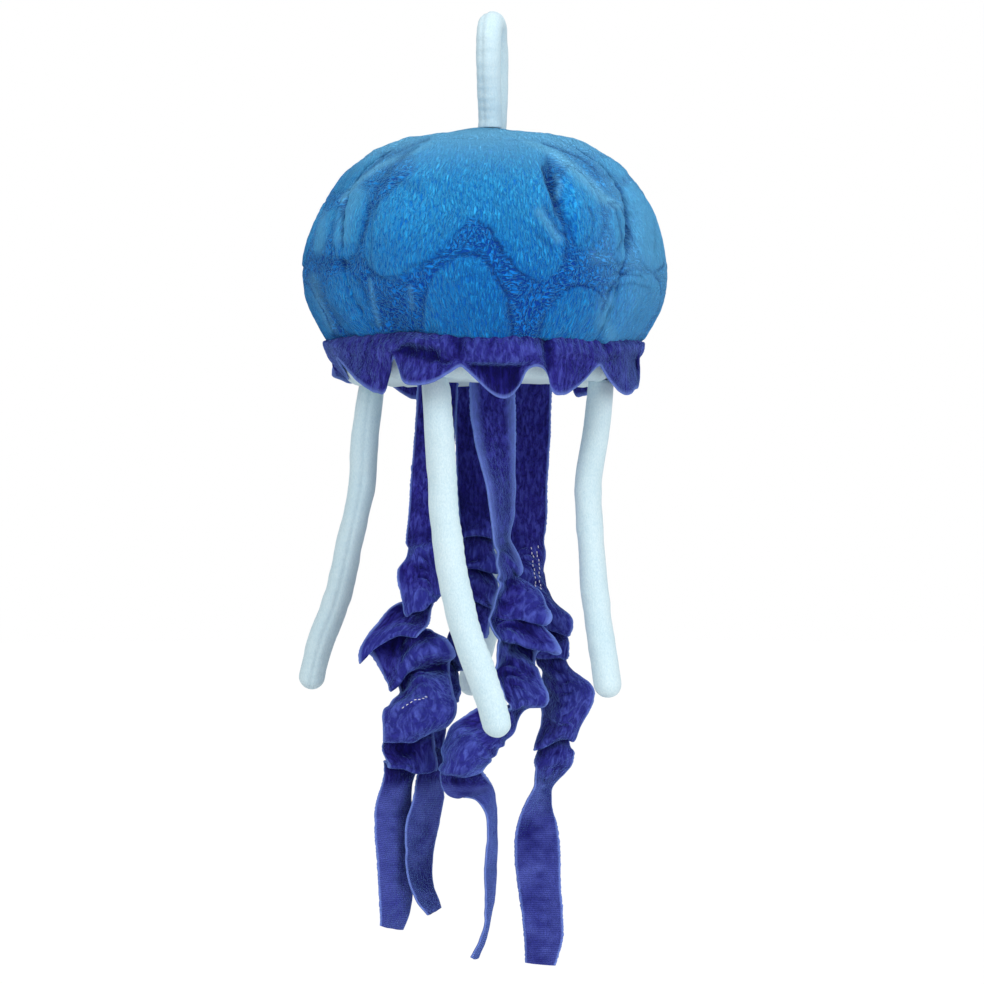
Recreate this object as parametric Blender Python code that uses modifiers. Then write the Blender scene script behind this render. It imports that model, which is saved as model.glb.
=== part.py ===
"""Hanging plush jellyfish: a stuffed bell on a loop, with a scalloped collar,
four stuffed tentacles and four gathered velour ribbons.

Metres, +Z up, front towards -Y. The origin is where a hook bears, under the
crown of the hanging loop. Azimuths are in degrees, 0 at the front and growing
towards +X. Routes are read off the object in millimetres.
"""

import math

import bpy
import numpy as np

MM = 0.001

# Clearance between pieces that are sewn together.
SEAM_GAP = 0.3 * MM

# Bell: a dome of four gores that draws in to its seam.
LOOP_DROP = 46.0 * MM
BELL_AXIS_X = -3.8 * MM
BELL_RADIUS = 89.2 * MM
BELL_UPPER_HEIGHT = 72.0 * MM
BELL_LOWER_HEIGHT = 34.5 * MM
BELL_SEAM_RADIUS = 74.5 * MM
BELL_FLATNESS = 2.2
BELL_FULLNESS = 0.43
BELL_TOP_Z = -LOOP_DROP
BELL_EQUATOR_Z = BELL_TOP_Z - BELL_UPPER_HEIGHT
BELL_SEAM_Z = BELL_EQUATOR_Z - BELL_LOWER_HEIGHT
GORE_SEAM_DEPTH = 3.0 * MM
GORE_SEAM_WIDTH = 5.5 * MM
GORE_CROWN = 1.8 * MM
GORE_SEAM_AZIMUTHS = (-43.0, 43.0, 137.0, 223.0)
CREASE_AZIMUTH = 25.0
CREASE_LENGTH = 50.0 * MM
CREASE_MIDDLE_Z = BELL_EQUATOR_Z + 33.0 * MM
CREASE_DEPTH = 3.5 * MM
CREASE_WIDTH = 6.0 * MM
# Columns across a gore, as shares of its width, closer at the seam and crease.
GORE_COLUMNS = (0.0, 0.045, 0.12, 0.24, 0.37, 0.5, 0.62, 0.72, 0.79, 0.86, 0.955)
BELL_RINGS_ABOVE = 13
BELL_RINGS_BELOW = 6

# Collar: a double strip with pointed scallops, sewn in under the bell.
SCALLOP_COUNT = 12
FIRST_SCALLOP_AZIMUTH = -85.6
COLLAR_OVERHANG = 3.1 * MM
COLLAR_THICKNESS = 3.4 * MM
COLLAR_BAND = 11.5 * MM
COLLAR_RADIUS = BELL_SEAM_RADIUS + COLLAR_OVERHANG
SCALLOP_DROP = 13.5 * MM
NOTCH_DROP = 1.5 * MM
COLLAR_LEAN = -7.0
# Outward bend of each point in degrees, from the first one round past the front.
SCALLOP_BENDS = (-4.0, -8.0, 34.0, -16.0, 6.0, 16.0, -6.0, 12.0, -8.0, 14.0, 0.0, 10.0)
SCALLOP_COLUMNS = 8
COLLAR_ROWS = 4

# Base panel: the pale round panel inside the collar, puffed downwards.
BASE_CLEARANCE = 1.2 * MM
BASE_DEPTH = 21.0 * MM
BASE_TAPER = 3.0 * MM
BASE_CORNER = 8.0 * MM
BASE_STEPS = 32
BASE_RADIUS = COLLAR_RADIUS - COLLAR_THICKNESS - BASE_CLEARANCE
BASE_TOP_Z = BELL_SEAM_Z - SEAM_GAP
BASE_BOTTOM_Z = BASE_TOP_Z - BASE_DEPTH

# Hanging loop: a stuffed tube bent double.
LOOP_TUBE_DIAMETER = 12.0 * MM
LOOP_INNER_WIDTH = 15.0 * MM
LOOP_TURN = 9.0
LOOP_CENTRE_X = 0.3 * MM
LOOP_FOOT_SPREAD = 7.5 * MM
# Half of the loop from its crown down: share of its half width, share of its drop.
LOOP_ROUTE = ((0.78, 0.10), (1.0, 0.35), (0.78, 0.65), (0.60, 0.84))

# Tentacles: stuffed tubes, a little flat, a quarter turn apart.
TENTACLE_WIDTH = 14.6 * MM
TENTACLE_DEPTH = 12.0 * MM
TENTACLE_INSET = 11.0 * MM
FIRST_TENTACLE_AZIMUTH = -22.0
TENTACLE_SIDES = 10
TENTACLE_RINGS = 15
FRONT_TENTACLE_DROP = 174.0 * MM
RIGHT_TENTACLE_DROP = 157.0 * MM
BACK_TENTACLE_DROP = 159.0 * MM
LEFT_TENTACLE_DROP = 160.0 * MM
# Routes: x and y in mm from the root, share of the drop.
FRONT_ROUTE = (
    (2.0, -2.5, 0.15), (4.0, -6.5, 0.32), (7.5, -10.5, 0.505),
    (13.0, -14.5, 0.695), (21.0, -19.5, 0.895), (27.5, -22.5, 1.0),
)
RIGHT_ROUTE = (
    (-2.5, 1.0, 0.135), (-7.0, 2.0, 0.325), (-7.5, 1.0, 0.515),
    (-4.0, -1.0, 0.705), (0.0, -3.0, 0.88), (3.5, -4.0, 1.0),
)
BACK_ROUTE = (
    (-2.5, -2.5, 0.165), (-7.5, -5.5, 0.365), (-14.5, -7.5, 0.57),
    (-21.5, -8.5, 0.76), (-27.5, -9.5, 0.885), (-31.5, -10.5, 1.0),
)
LEFT_ROUTE = (
    (-0.5, -2.0, 0.15), (-3.0, -2.0, 0.335), (-7.5, 0.0, 0.55),
    (-14.5, 2.0, 0.735), (-22.5, 4.0, 0.88), (-31.5, 6.0, 1.0),
)

# Ribbons: velour strips, plain at both ends and gathered between.
RIBBON_WIDTH = 22.5 * MM
RIBBON_THICKNESS = 1.4 * MM
RIBBON_ROWS = 118
GATHER_ROW_DENSITY = 3.4
RUFFLE_PITCH = 20.0 * MM
RUFFLE_SPREAD = 0.22
RUFFLE_SWAY = 2.0 * MM
RUFFLE_TUCK = 0.12
RUFFLE_SWING = 0.95
RUFFLE_DROOP = 0.45
RUFFLE_HANG = 0.3
RUFFLE_LAG = 1.2
LEFT_RIBBON_DROP = 273.0 * MM
BACK_RIBBON_DROP = 265.0 * MM
CENTRE_RIBBON_DROP = 289.0 * MM
RIGHT_RIBBON_DROP = 291.0 * MM
# Stations down the stitched line: x and y in mm from the bell's axis, share of
# the drop, the way the strip's face looks in degrees, the share of the width
# that lies left of the line, how gathered it is.
LEFT_STATIONS = (
    (-22.5, -9, 0.000, 5, 0.50, 0.0), (-24.5, -9, 0.150, 8, 0.50, 0.0),
    (-27.5, -9, 0.285, 8, 0.50, 0.0), (-32.0, -10, 0.390, 0, 0.50, 0.3),
    (-46.0, -11, 0.455, -15, 0.55, 1.0), (-42.0, -12, 0.520, 0, 0.55, 1.0),
    (-31.0, -13, 0.580, 10, 0.50, 1.0), (-33.0, -13, 0.635, 0, 0.50, 0.8),
    (-39.5, -10, 0.680, -25, 0.50, 0.1), (-45.5, -6, 0.725, -45, 0.50, 0.0),
    (-46.0, -4, 0.775, -42, 0.50, 0.0), (-46.5, -3, 0.865, -35, 0.50, 0.0),
    (-46.0, -3, 1.000, -45, 0.50, 0.0),
)
BACK_STATIONS = (
    (-4.5, 20, 0.000, 0, 0.50, 0.0), (-3.0, 20, 0.155, 0, 0.50, 0.0),
    (-2.0, 20, 0.270, 0, 0.50, 0.1), (-3.0, 20, 0.370, 10, 0.50, 1.0),
    (-14.0, 19, 0.465, 10, 0.45, 1.0), (-20.0, 18, 0.560, 0, 0.45, 1.0),
    (-21.0, 16, 0.645, -10, 0.45, 0.7), (-24.0, 9, 0.730, -45, 0.50, 0.0),
    (-30.5, 5, 0.795, -50, 0.50, 0.0), (-32.0, 4, 0.915, -50, 0.50, 0.0),
    (-25.0, 4, 1.000, -50, 0.50, 0.0),
)
CENTRE_STATIONS = (
    (5.0, -20, 0.000, 0, 0.50, 0.0), (4.0, -20, 0.095, 5, 0.50, 0.0),
    (6.5, -20, 0.210, 35, 0.50, 0.0), (8.5, -20, 0.305, 62, 0.40, 0.3),
    (10.0, -21, 0.375, 30, 0.20, 1.0), (11.0, -22, 0.455, 20, 0.20, 1.0),
    (13.0, -23, 0.540, 10, 0.20, 1.0), (12.0, -25, 0.595, -10, 0.35, 0.8),
    (1.0, -28, 0.640, 0, 0.50, 0.3), (-9.0, -28, 0.675, 5, 0.50, 0.0),
    (-9.0, -22, 0.720, 25, 0.50, 0.0), (0.5, -18, 0.750, 60, 0.50, 0.0),
    (3.5, -17, 0.795, 78, 0.50, 0.0), (3.0, -16, 0.850, 82, 0.50, 0.0),
    (1.0, -15, 0.940, 80, 0.50, 0.0), (-6.0, -14, 1.000, 78, 0.50, 0.0),
)
RIGHT_STATIONS = (
    (23.5, 8, 0.000, 0, 0.50, 0.0), (23.5, 8, 0.140, 0, 0.50, 0.0),
    (23.5, 8, 0.255, 0, 0.50, 0.0), (25.0, 7, 0.335, -10, 0.45, 0.8),
    (29.0, 6, 0.425, -15, 0.40, 1.0), (38.0, 4, 0.500, -10, 0.45, 1.0),
    (39.0, 2, 0.570, 10, 0.50, 0.7), (34.0, 1, 0.640, 50, 0.50, 0.2),
    (28.5, 1, 0.700, 60, 0.50, 0.0), (26.5, 0, 0.775, 10, 0.50, 0.0),
    (29.5, 0, 0.885, 5, 0.50, 0.0), (30.5, 0, 1.000, 20, 0.50, 0.0),
)

PALE_BLUE = (0.62, 0.78, 0.86, 1.0)
SKY_BLUE = (0.03, 0.19, 0.60, 1.0)
INDIGO = (0.035, 0.03, 0.30, 1.0)


def clear_scene():
    for old in list(bpy.data.objects):
        bpy.data.objects.remove(old, do_unlink=True)


def make_collection(name):
    collection = bpy.data.collections.new(name)
    bpy.context.scene.collection.children.link(collection)
    return collection


def fabric(name, colour, roughness):
    material = bpy.data.materials.new(name)
    material.use_nodes = True
    shader = material.node_tree.nodes["Principled BSDF"]
    shader.inputs["Base Color"].default_value = colour
    shader.inputs["Roughness"].default_value = roughness
    shader.inputs["Metallic"].default_value = 0.0
    return material


def add_object(name, data, collection, material):
    thing = bpy.data.objects.new(name, data)
    data.materials.append(material)
    collection.objects.link(thing)
    return thing


def smoothstep(x):
    x = np.clip(x, 0.0, 1.0)
    return x * x * (3.0 - 2.0 * x)


def azimuth_gap(azimuth, other):
    """Degrees from one azimuth to the other, between -180 and 180."""
    return (np.asarray(azimuth) - other + 180.0) % 360.0 - 180.0


def along(stations, at):
    """The stations' smooth curve, sampled at the given lengths along it."""
    steps = np.linalg.norm(np.diff(stations[:, :3], axis=0), axis=1)
    knots = np.concatenate([[0.0], np.cumsum(steps)])
    slopes = np.gradient(stations, knots, axis=0)
    at = np.asarray(at) * knots[-1]
    left = np.clip(np.searchsorted(knots, at, side="right") - 1, 0, len(steps) - 1)
    span = steps[left][:, None]
    u = (at - knots[left])[:, None] / span
    return (
        stations[left] * (1 + 2 * u) * (1 - u) ** 2
        + slopes[left] * span * u * (1 - u) ** 2
        + stations[left + 1] * u * u * (3 - 2 * u)
        + slopes[left + 1] * span * u * u * (u - 1)
    )


def unit(vectors):
    return vectors / np.linalg.norm(vectors, axis=-1, keepdims=True)


def grid_mesh(name, grid, around=False):
    """Quads over a grid of points, joined round when asked."""
    rows, columns = grid.shape[:2]
    last = columns if around else columns - 1
    faces = []
    for row in range(rows - 1):
        for column in range(last):
            right = (column + 1) % columns
            faces.append(
                (
                    row * columns + column,
                    (row + 1) * columns + column,
                    (row + 1) * columns + right,
                    row * columns + right,
                )
            )
    mesh = bpy.data.meshes.new(name)
    mesh.from_pydata(grid.reshape(-1, 3).tolist(), [], faces)
    return mesh


def skin_mesh(name, rings):
    """A closed skin over a stack of rings, with a flat face at each end."""
    count, sides = rings.shape[:2]
    faces = [tuple(range(sides)), tuple(reversed(range((count - 1) * sides, count * sides)))]
    for ring in range(count - 1):
        for side in range(sides):
            right = (side + 1) % sides
            faces.append(
                (
                    ring * sides + side,
                    (ring + 1) * sides + side,
                    (ring + 1) * sides + right,
                    ring * sides + right,
                )
            )
    mesh = bpy.data.meshes.new(name)
    mesh.from_pydata(rings.reshape(-1, 3).tolist(), [], faces)
    return mesh


def smooth(mesh):
    mesh.polygons.foreach_set("use_smooth", [True] * len(mesh.polygons))
    return mesh


def bell_profile():
    """Radius and height of the bell's rings, from the crown to the seam."""
    turn = np.linspace(math.radians(4.0), math.pi / 2, BELL_RINGS_ABOVE)
    rise = np.cos(turn)
    upper_radius = BELL_RADIUS * (1 - rise**BELL_FLATNESS) ** BELL_FULLNESS
    upper_z = BELL_EQUATOR_Z + rise * BELL_UPPER_HEIGHT
    lowest = math.acos(BELL_SEAM_RADIUS / BELL_RADIUS)
    turn = np.linspace(0.0, lowest, BELL_RINGS_BELOW + 1)[1:]
    lower_radius = BELL_RADIUS * np.cos(turn)
    lower_z = BELL_EQUATOR_Z - BELL_LOWER_HEIGHT * np.sin(turn) / math.sin(lowest)
    return np.concatenate([upper_radius, lower_radius]), np.concatenate([upper_z, lower_z])


def bell_swell(radius, z, azimuth):
    """How far the cloth stands out from the plain dome: gores, their seams and the crease."""
    swell = np.full(azimuth.shape, GORE_CROWN)
    for seam in GORE_SEAM_AZIMUTHS:
        aside = np.radians(azimuth_gap(azimuth, seam)) * radius
        swell -= (GORE_CROWN + GORE_SEAM_DEPTH) * np.exp(-np.abs(aside / GORE_SEAM_WIDTH) ** 1.5)
    aside = np.radians(azimuth_gap(azimuth, CREASE_AZIMUTH)) * radius
    fade = 1 - smoothstep(np.abs(z - CREASE_MIDDLE_Z) / (CREASE_LENGTH / 2))
    swell -= CREASE_DEPTH * fade * np.exp(-((aside / CREASE_WIDTH) ** 2))
    crown_fade = smoothstep((radius - 6 * MM) / (30 * MM))
    rim_fade = 0.35 + 0.65 * smoothstep((z - BELL_SEAM_Z) / (18 * MM))
    return swell * crown_fade * rim_fade


def make_bell(collection, material):
    radius, z = bell_profile()
    seams = np.array(GORE_SEAM_AZIMUTHS)
    widths = np.diff(np.append(seams, seams[0] + 360.0))
    azimuth = (seams[:, None] + widths[:, None] * np.array(GORE_COLUMNS)).ravel()
    azimuth = np.tile(azimuth, (len(radius), 1))
    radius = radius[:, None]
    z = z[:, None]
    out = radius + bell_swell(radius, z, azimuth)
    turn = np.radians(azimuth)
    x = BELL_AXIS_X + out * np.sin(turn)
    y = -out * np.cos(turn)
    rings = np.stack([x, y, np.broadcast_to(z, x.shape)], axis=-1)
    return add_object("bell", smooth(skin_mesh("bell", rings)), collection, material)


def make_base(collection, material):
    corner_radius = BASE_RADIUS - BASE_TAPER - BASE_CORNER
    profile = [(0.0, BASE_TOP_Z), (BASE_RADIUS, BASE_TOP_Z)]
    for degrees in (0, 22.5, 45, 67.5, 90):
        turn = math.radians(degrees)
        profile.append(
            (
                corner_radius + BASE_CORNER * math.cos(turn),
                BASE_BOTTOM_Z + BASE_CORNER * (1 - math.sin(turn)),
            )
        )
    profile.append((0.0, BASE_BOTTOM_Z))
    mesh = bpy.data.meshes.new("base_panel")
    points = [(r, 0.0, z) for r, z in profile]
    edges = [(i, i + 1) for i in range(len(points) - 1)]
    mesh.from_pydata(points, edges, [])
    base = add_object("base_panel", mesh, collection, material)
    base.location.x = BELL_AXIS_X
    screw = base.modifiers.new("lathe", "SCREW")
    screw.axis = "Z"
    screw.steps = BASE_STEPS
    screw.render_steps = BASE_STEPS
    screw.use_merge_vertices = True
    screw.merge_threshold = 0.0001
    screw.use_smooth_shade = True
    return base


def make_collar(collection, material):
    columns = SCALLOP_COUNT * SCALLOP_COLUMNS
    pitch = 360.0 / SCALLOP_COUNT
    azimuth = FIRST_SCALLOP_AZIMUTH + (np.arange(columns) / SCALLOP_COLUMNS - 0.5) * pitch
    aside = np.abs((np.arange(columns) / SCALLOP_COLUMNS) % 1.0 - 0.5) * 2
    point = (1 - aside) ** 0.8
    bend = np.repeat(SCALLOP_BENDS, SCALLOP_COLUMNS) * smoothstep((1 - aside) * 1.6)
    drop = NOTCH_DROP + SCALLOP_DROP * point
    lean = math.radians(COLLAR_LEAN)
    radius = np.full(columns, COLLAR_RADIUS - COLLAR_THICKNESS / 2)
    rim_tilt = COLLAR_THICKNESS / 2 * abs(math.sin(lean))
    z = np.full(columns, BELL_SEAM_Z - SEAM_GAP - rim_tilt)
    grid = []
    lengths = [0.0, COLLAR_BAND * 0.5, COLLAR_BAND * 0.5] + [0.5] * (COLLAR_ROWS - 2)
    for row, length in enumerate(lengths):
        angle = lean
        if row > 2:
            length = length * drop
            angle = lean + np.radians(bend) * (0.6 + 0.4 * (row - 2))
        radius = radius + length * np.sin(angle)
        z = z - length * np.cos(angle)
        turn = np.radians(azimuth)
        grid.append(np.stack([BELL_AXIS_X + radius * np.sin(turn), -radius * np.cos(turn), z], axis=-1))
    mesh = smooth(grid_mesh("scalloped_collar", np.array(grid), around=True))
    collar = add_object("scalloped_collar", mesh, collection, material)
    solidify = collar.modifiers.new("two layers", "SOLIDIFY")
    solidify.thickness = COLLAR_THICKNESS
    solidify.offset = 0.0
    return collar


def make_loop(collection, material):
    """A round tube up from one foot, over the hook's place and down to the other foot."""
    tube = LOOP_TUBE_DIAMETER / 2
    half_width = LOOP_INNER_WIDTH / 2 + tube
    foot_z = BELL_TOP_Z + SEAM_GAP
    height = tube - foot_z
    half = [(0.0, tube)]
    half += [(across * half_width, tube - down * height) for across, down in LOOP_ROUTE]
    half.append((LOOP_FOOT_SPREAD, foot_z))
    route = [(-across, up) for across, up in reversed(half[1:])] + half
    turn = math.radians(LOOP_TURN)
    curve = bpy.data.curves.new("hanging_loop", "CURVE")
    curve.dimensions = "3D"
    curve.bevel_depth = LOOP_TUBE_DIAMETER / 2
    curve.bevel_resolution = 3
    curve.resolution_u = 3
    curve.use_fill_caps = True
    spline = curve.splines.new("BEZIER")
    spline.bezier_points.add(len(route) - 1)
    for point, (across, up) in zip(spline.bezier_points, route):
        x = LOOP_CENTRE_X + across * math.sin(turn)
        point.co = (x, across * math.cos(turn), up)
        point.handle_left_type = "AUTO"
        point.handle_right_type = "AUTO"
    for point, rise in ((spline.bezier_points[0], tube / 2), (spline.bezier_points[-1], -tube / 2)):
        point.handle_left_type = "FREE"
        point.handle_right_type = "FREE"
        point.handle_left = (point.co.x, point.co.y, point.co.z - rise)
        point.handle_right = (point.co.x, point.co.y, point.co.z + rise)
    return add_object("hanging_loop", curve, collection, material)


def make_tentacle(name, quarter, drop, route, collection, material):
    """A stuffed tube down a route, its wide side facing away from the bell's axis."""
    azimuth = math.radians(FIRST_TENTACLE_AZIMUTH + 90.0 * quarter)
    ring = BASE_RADIUS - TENTACLE_INSET
    root = np.array([BELL_AXIS_X + ring * math.sin(azimuth), -ring * math.cos(azimuth), 0.0])
    root[2] = BASE_BOTTOM_Z - SEAM_GAP
    below = [root + (x * MM, y * MM, -down * drop) for x, y, down in route]
    stations = np.array([root] + below)
    length = np.linalg.norm(np.diff(stations, axis=0), axis=1).sum()
    tip = TENTACLE_DEPTH / 2
    at = np.concatenate(
        [np.linspace(0, 1 - tip / length, TENTACLE_RINGS), 1 - tip / length * np.array([0.55, 0.2, 0.0])]
    )
    full = np.concatenate([np.ones(TENTACLE_RINGS), [0.86, 0.62, 0.28]])
    centre = along(stations, at)
    tangent = unit(np.gradient(centre, axis=0))
    tangent[0] = (0, 0, -1)
    outward = np.array([math.sin(azimuth), -math.cos(azimuth), 0.0])
    across = unit(np.cross(tangent, outward))
    away = np.cross(across, tangent)
    turn = np.arange(TENTACLE_SIDES) * 2 * math.pi / TENTACLE_SIDES
    wide = full[:, None, None] * TENTACLE_WIDTH / 2 * np.cos(turn)[None, :, None]
    deep = full[:, None, None] * TENTACLE_DEPTH / 2 * np.sin(turn)[None, :, None]
    rings = centre[:, None] + wide * across[:, None] + deep * away[:, None]
    return add_object(name, smooth(skin_mesh(name, rings)), collection, material)


def ribbon_grid(stations, drop, beat_start, across):
    """Points of a ribbon's middle surface, row by row down its stitched line.

    Where it is gathered, the two halves swing out of the strip's plane and
    back, once a pitch, and hang down between, as a ruffle does.
    """
    stations = np.array(stations, float)
    stations[:, 0] = BELL_AXIS_X + stations[:, 0] * MM
    stations[:, 1] *= MM
    stations[:, 2] = BASE_BOTTOM_Z - SEAM_GAP - stations[:, 2] * drop
    fine = along(stations, np.linspace(0, 1, 400))
    density = 1 + GATHER_ROW_DENSITY * np.clip(fine[:, 5], 0, 1)
    share = np.concatenate([[0], np.cumsum((density[1:] + density[:-1]) / 2)])
    at = np.interp(np.linspace(0, share[-1], RIBBON_ROWS), share, np.linspace(0, 1, 400))
    line = along(stations, at)
    centre = line[:, :3]
    facing = np.radians(line[:, 3])
    left_share = line[:, 4]
    gather = smoothstep(line[:, 5])
    steps = np.linalg.norm(np.diff(centre, axis=0), axis=1)
    travel = np.concatenate([[0], np.cumsum(steps * (gather[1:] + gather[:-1]) / 2)])
    beat = 2 * math.pi * travel / RUFFLE_PITCH + beat_start
    tangent = unit(np.gradient(centre, axis=0))
    tangent[0] = (0, 0, -1)
    looks = np.stack([-np.sin(facing), -np.cos(facing), np.zeros(len(facing))], axis=-1)
    side = unit(np.cross(looks, tangent))
    front = np.cross(tangent, side)
    down = np.array([0.0, 0.0, -1.0])
    centre = centre + (gather * RUFFLE_SWAY * np.sin(beat + 0.6))[:, None] * front
    rows_of_points = []
    for u in across:
        half = np.sign(u)
        width = abs(u) * RIBBON_WIDTH * np.where(u < 0, left_share, 1 - left_share)
        width = width * (1 + RUFFLE_SPREAD * gather)
        late = beat + (RUFFLE_LAG if u < 0 else 0.0)
        lift = gather * RUFFLE_SWING * np.sin(late)
        sag = RUFFLE_HANG + RUFFLE_DROOP * np.sin(late) - RUFFLE_TUCK * np.sin(2 * late)
        aim = (
            half * np.cos(lift)[:, None] * side
            + np.sin(lift)[:, None] * front
            + (gather * sag)[:, None] * down
        )
        aim = unit(aim) if half else aim * 0
        rows_of_points.append(centre + width[:, None] * aim)
    return np.stack(rows_of_points, axis=1)


def make_ribbon(name, stations, drop, beat_start, collection, material):
    grid = ribbon_grid(stations, drop, beat_start, (-1.0, 0.0, 1.0))
    ribbon = add_object(name, smooth(grid_mesh(name, grid)), collection, material)
    solidify = ribbon.modifiers.new("cloth", "SOLIDIFY")
    solidify.thickness = RIBBON_THICKNESS
    solidify.offset = 0.0
    return ribbon


def main():
    clear_scene()
    jellyfish = make_collection("plush_jellyfish")
    plush = fabric("sky blue plush", SKY_BLUE, 0.9)
    velour = fabric("indigo velour", INDIGO, 0.8)
    pale = fabric("pale blue velour", PALE_BLUE, 0.85)
    make_bell(jellyfish, plush)
    make_base(jellyfish, pale)
    make_collar(jellyfish, velour)
    make_loop(jellyfish, pale)
    make_tentacle("tentacle_front", 0, FRONT_TENTACLE_DROP, FRONT_ROUTE, jellyfish, pale)
    make_tentacle("tentacle_right", 1, RIGHT_TENTACLE_DROP, RIGHT_ROUTE, jellyfish, pale)
    make_tentacle("tentacle_back", 2, BACK_TENTACLE_DROP, BACK_ROUTE, jellyfish, pale)
    make_tentacle("tentacle_left", 3, LEFT_TENTACLE_DROP, LEFT_ROUTE, jellyfish, pale)
    make_ribbon("ribbon_left", LEFT_STATIONS, LEFT_RIBBON_DROP, 0.4, jellyfish, velour)
    make_ribbon("ribbon_back", BACK_STATIONS, BACK_RIBBON_DROP, 2.0, jellyfish, velour)
    make_ribbon("ribbon_centre", CENTRE_STATIONS, CENTRE_RIBBON_DROP, 0.0, jellyfish, velour)
    make_ribbon("ribbon_right", RIGHT_STATIONS, RIGHT_RIBBON_DROP, 1.2, jellyfish, velour)


main()
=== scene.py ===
"""Looks of the hanging plush jellyfish, dressed over the frame's solids.

Metres in the row frame: the origin is where a hook bears under the loop's
crown, +Z is up and the front looks towards -Y. Azimuths are in degrees, 0 at
the front and growing towards +X.
"""

import math

import bpy
import numpy as np
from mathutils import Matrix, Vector


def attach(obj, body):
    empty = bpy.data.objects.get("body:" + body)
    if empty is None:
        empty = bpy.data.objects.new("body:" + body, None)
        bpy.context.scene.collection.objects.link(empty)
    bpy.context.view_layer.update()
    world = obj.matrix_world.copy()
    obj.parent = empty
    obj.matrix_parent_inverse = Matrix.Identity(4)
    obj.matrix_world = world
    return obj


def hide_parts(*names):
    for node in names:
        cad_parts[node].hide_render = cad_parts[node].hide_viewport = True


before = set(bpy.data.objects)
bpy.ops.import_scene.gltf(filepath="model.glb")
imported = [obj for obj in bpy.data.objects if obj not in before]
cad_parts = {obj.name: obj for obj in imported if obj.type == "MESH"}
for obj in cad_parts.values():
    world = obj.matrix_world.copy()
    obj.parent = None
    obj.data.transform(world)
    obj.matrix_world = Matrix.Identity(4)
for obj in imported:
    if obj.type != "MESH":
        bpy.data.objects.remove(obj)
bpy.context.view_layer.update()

MM = 0.001

# The photo: mm a pixel at the bell's axis, the column and row of its middle, and in mm how
# far before that axis and how high its camera stood. A depth is in mm behind the axis.
PHOTO_SCALE = 0.5
PHOTO_MIDDLE = 492
EYE_DISTANCE = 1400.0
EYE_HEIGHT = -228.0

# Sizes in metres and degrees, as in the source. The tentacles are a little thicker here,
# and their routes are nearer to the photo's.
LOOP_DROP = 46.0 * MM
BELL_AXIS_X = -3.8 * MM
BELL_RADIUS = 89.2 * MM
BELL_UPPER_HEIGHT = 72.0 * MM
BELL_LOWER_HEIGHT = 34.5 * MM
BELL_SEAM_RADIUS = 74.5 * MM
BELL_FLATNESS = 2.2
BELL_FULLNESS = 0.43
BELL_TOP_Z = -LOOP_DROP
BELL_EQUATOR_Z = BELL_TOP_Z - BELL_UPPER_HEIGHT
BELL_SEAM_Z = BELL_EQUATOR_Z - BELL_LOWER_HEIGHT
GORE_SEAM_DEPTH = 3.0 * MM
GORE_SEAM_WIDTH = 5.5 * MM
GORE_CROWN = 1.8 * MM
GORE_SEAM_AZIMUTHS = (-43.0, 43.0, 137.0, 223.0)
CREASE_AZIMUTH = 25.0
CREASE_LENGTH = 50.0 * MM
CREASE_MIDDLE_Z = BELL_EQUATOR_Z + 33.0 * MM
CREASE_DEPTH = 3.5 * MM
CREASE_WIDTH = 6.0 * MM
SEAM_GAP = 0.3 * MM
COLLAR_THICKNESS = 3.4 * MM
COLLAR_RADIUS = BELL_SEAM_RADIUS + 3.1 * MM
BASE_DEPTH = 21.0 * MM
BASE_TAPER = 3.0 * MM
BASE_CORNER = 8.0 * MM
BASE_RADIUS = COLLAR_RADIUS - COLLAR_THICKNESS - 1.2 * MM
BASE_TOP_Z = BELL_SEAM_Z - SEAM_GAP
BASE_BOTTOM_Z = BASE_TOP_Z - BASE_DEPTH
LOOP_TUBE_RADIUS = 6.0 * MM
LOOP_HALF_WIDTH = 7.5 * MM + LOOP_TUBE_RADIUS
LOOP_TURN = 9.0
LOOP_CENTRE_X = 0.3 * MM
LOOP_FOOT_SPREAD = 7.5 * MM
LOOP_ROUTE = ((0.78, 0.10), (1.0, 0.35), (0.78, 0.65), (0.60, 0.84))
TENTACLE_WIDTH = 14.6 * MM
TENTACLE_DEPTH = 13.4 * MM
TENTACLE_INSET = 11.0 * MM
FIRST_TENTACLE_AZIMUTH = -22.0
TENTACLE_SIDES = 56
TUBE_SEAM = 205.0
# A piece's unevenness: layers of lumps, each with its size and its height in mm.
TUBE_LUMPS = ((17.0, 0.55), (6.0, 0.28))
# Each tentacle's quarter of the bell, drop, route (mm off its root, share of the drop) and how much painted
# shade darkens it below the palest velour.
TENTACLES = (
    ("tentacle_front", 0, 174.0 * MM, (
        (2.0, -2.5, 0.15), (4.0, -6.5, 0.32), (7.5, -10.5, 0.505),
        (15.0, -14.5, 0.695), (26.5, -19.5, 0.88), (31.0, -22.0, 0.975),
    ), 0.0),
    ("tentacle_right", 1, 157.0 * MM, (
        (-2.0, 1.0, 0.135), (-6.2, 2.0, 0.325), (-4.9, 1.0, 0.515),
        (-2.3, -1.0, 0.705), (1.6, -3.0, 0.88), (4.6, -4.0, 0.985),
    ), 0.0),
    ("tentacle_back", 2, 159.0 * MM, (
        (-2.5, -2.5, 0.165), (-7.5, -5.5, 0.365), (-14.5, -7.5, 0.57),
        (-21.5, -8.5, 0.76), (-27.5, -9.5, 0.885), (-31.5, -10.5, 1.0),
    ), 0.0),
    ("tentacle_left", 3, 160.0 * MM, (
        (-3.0, -2.0, 0.15), (-5.2, -2.0, 0.335), (-8.6, -1.4, 0.43), (-11.9, -0.4, 0.525),
        (-15.2, 0.6, 0.62), (-19.4, 1.8, 0.71), (-25.3, 3.2, 0.80), (-32.0, 5.4, 0.965),
    ), 0.45),
)
RIBBON_WIDTH = 22.5 * MM
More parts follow.
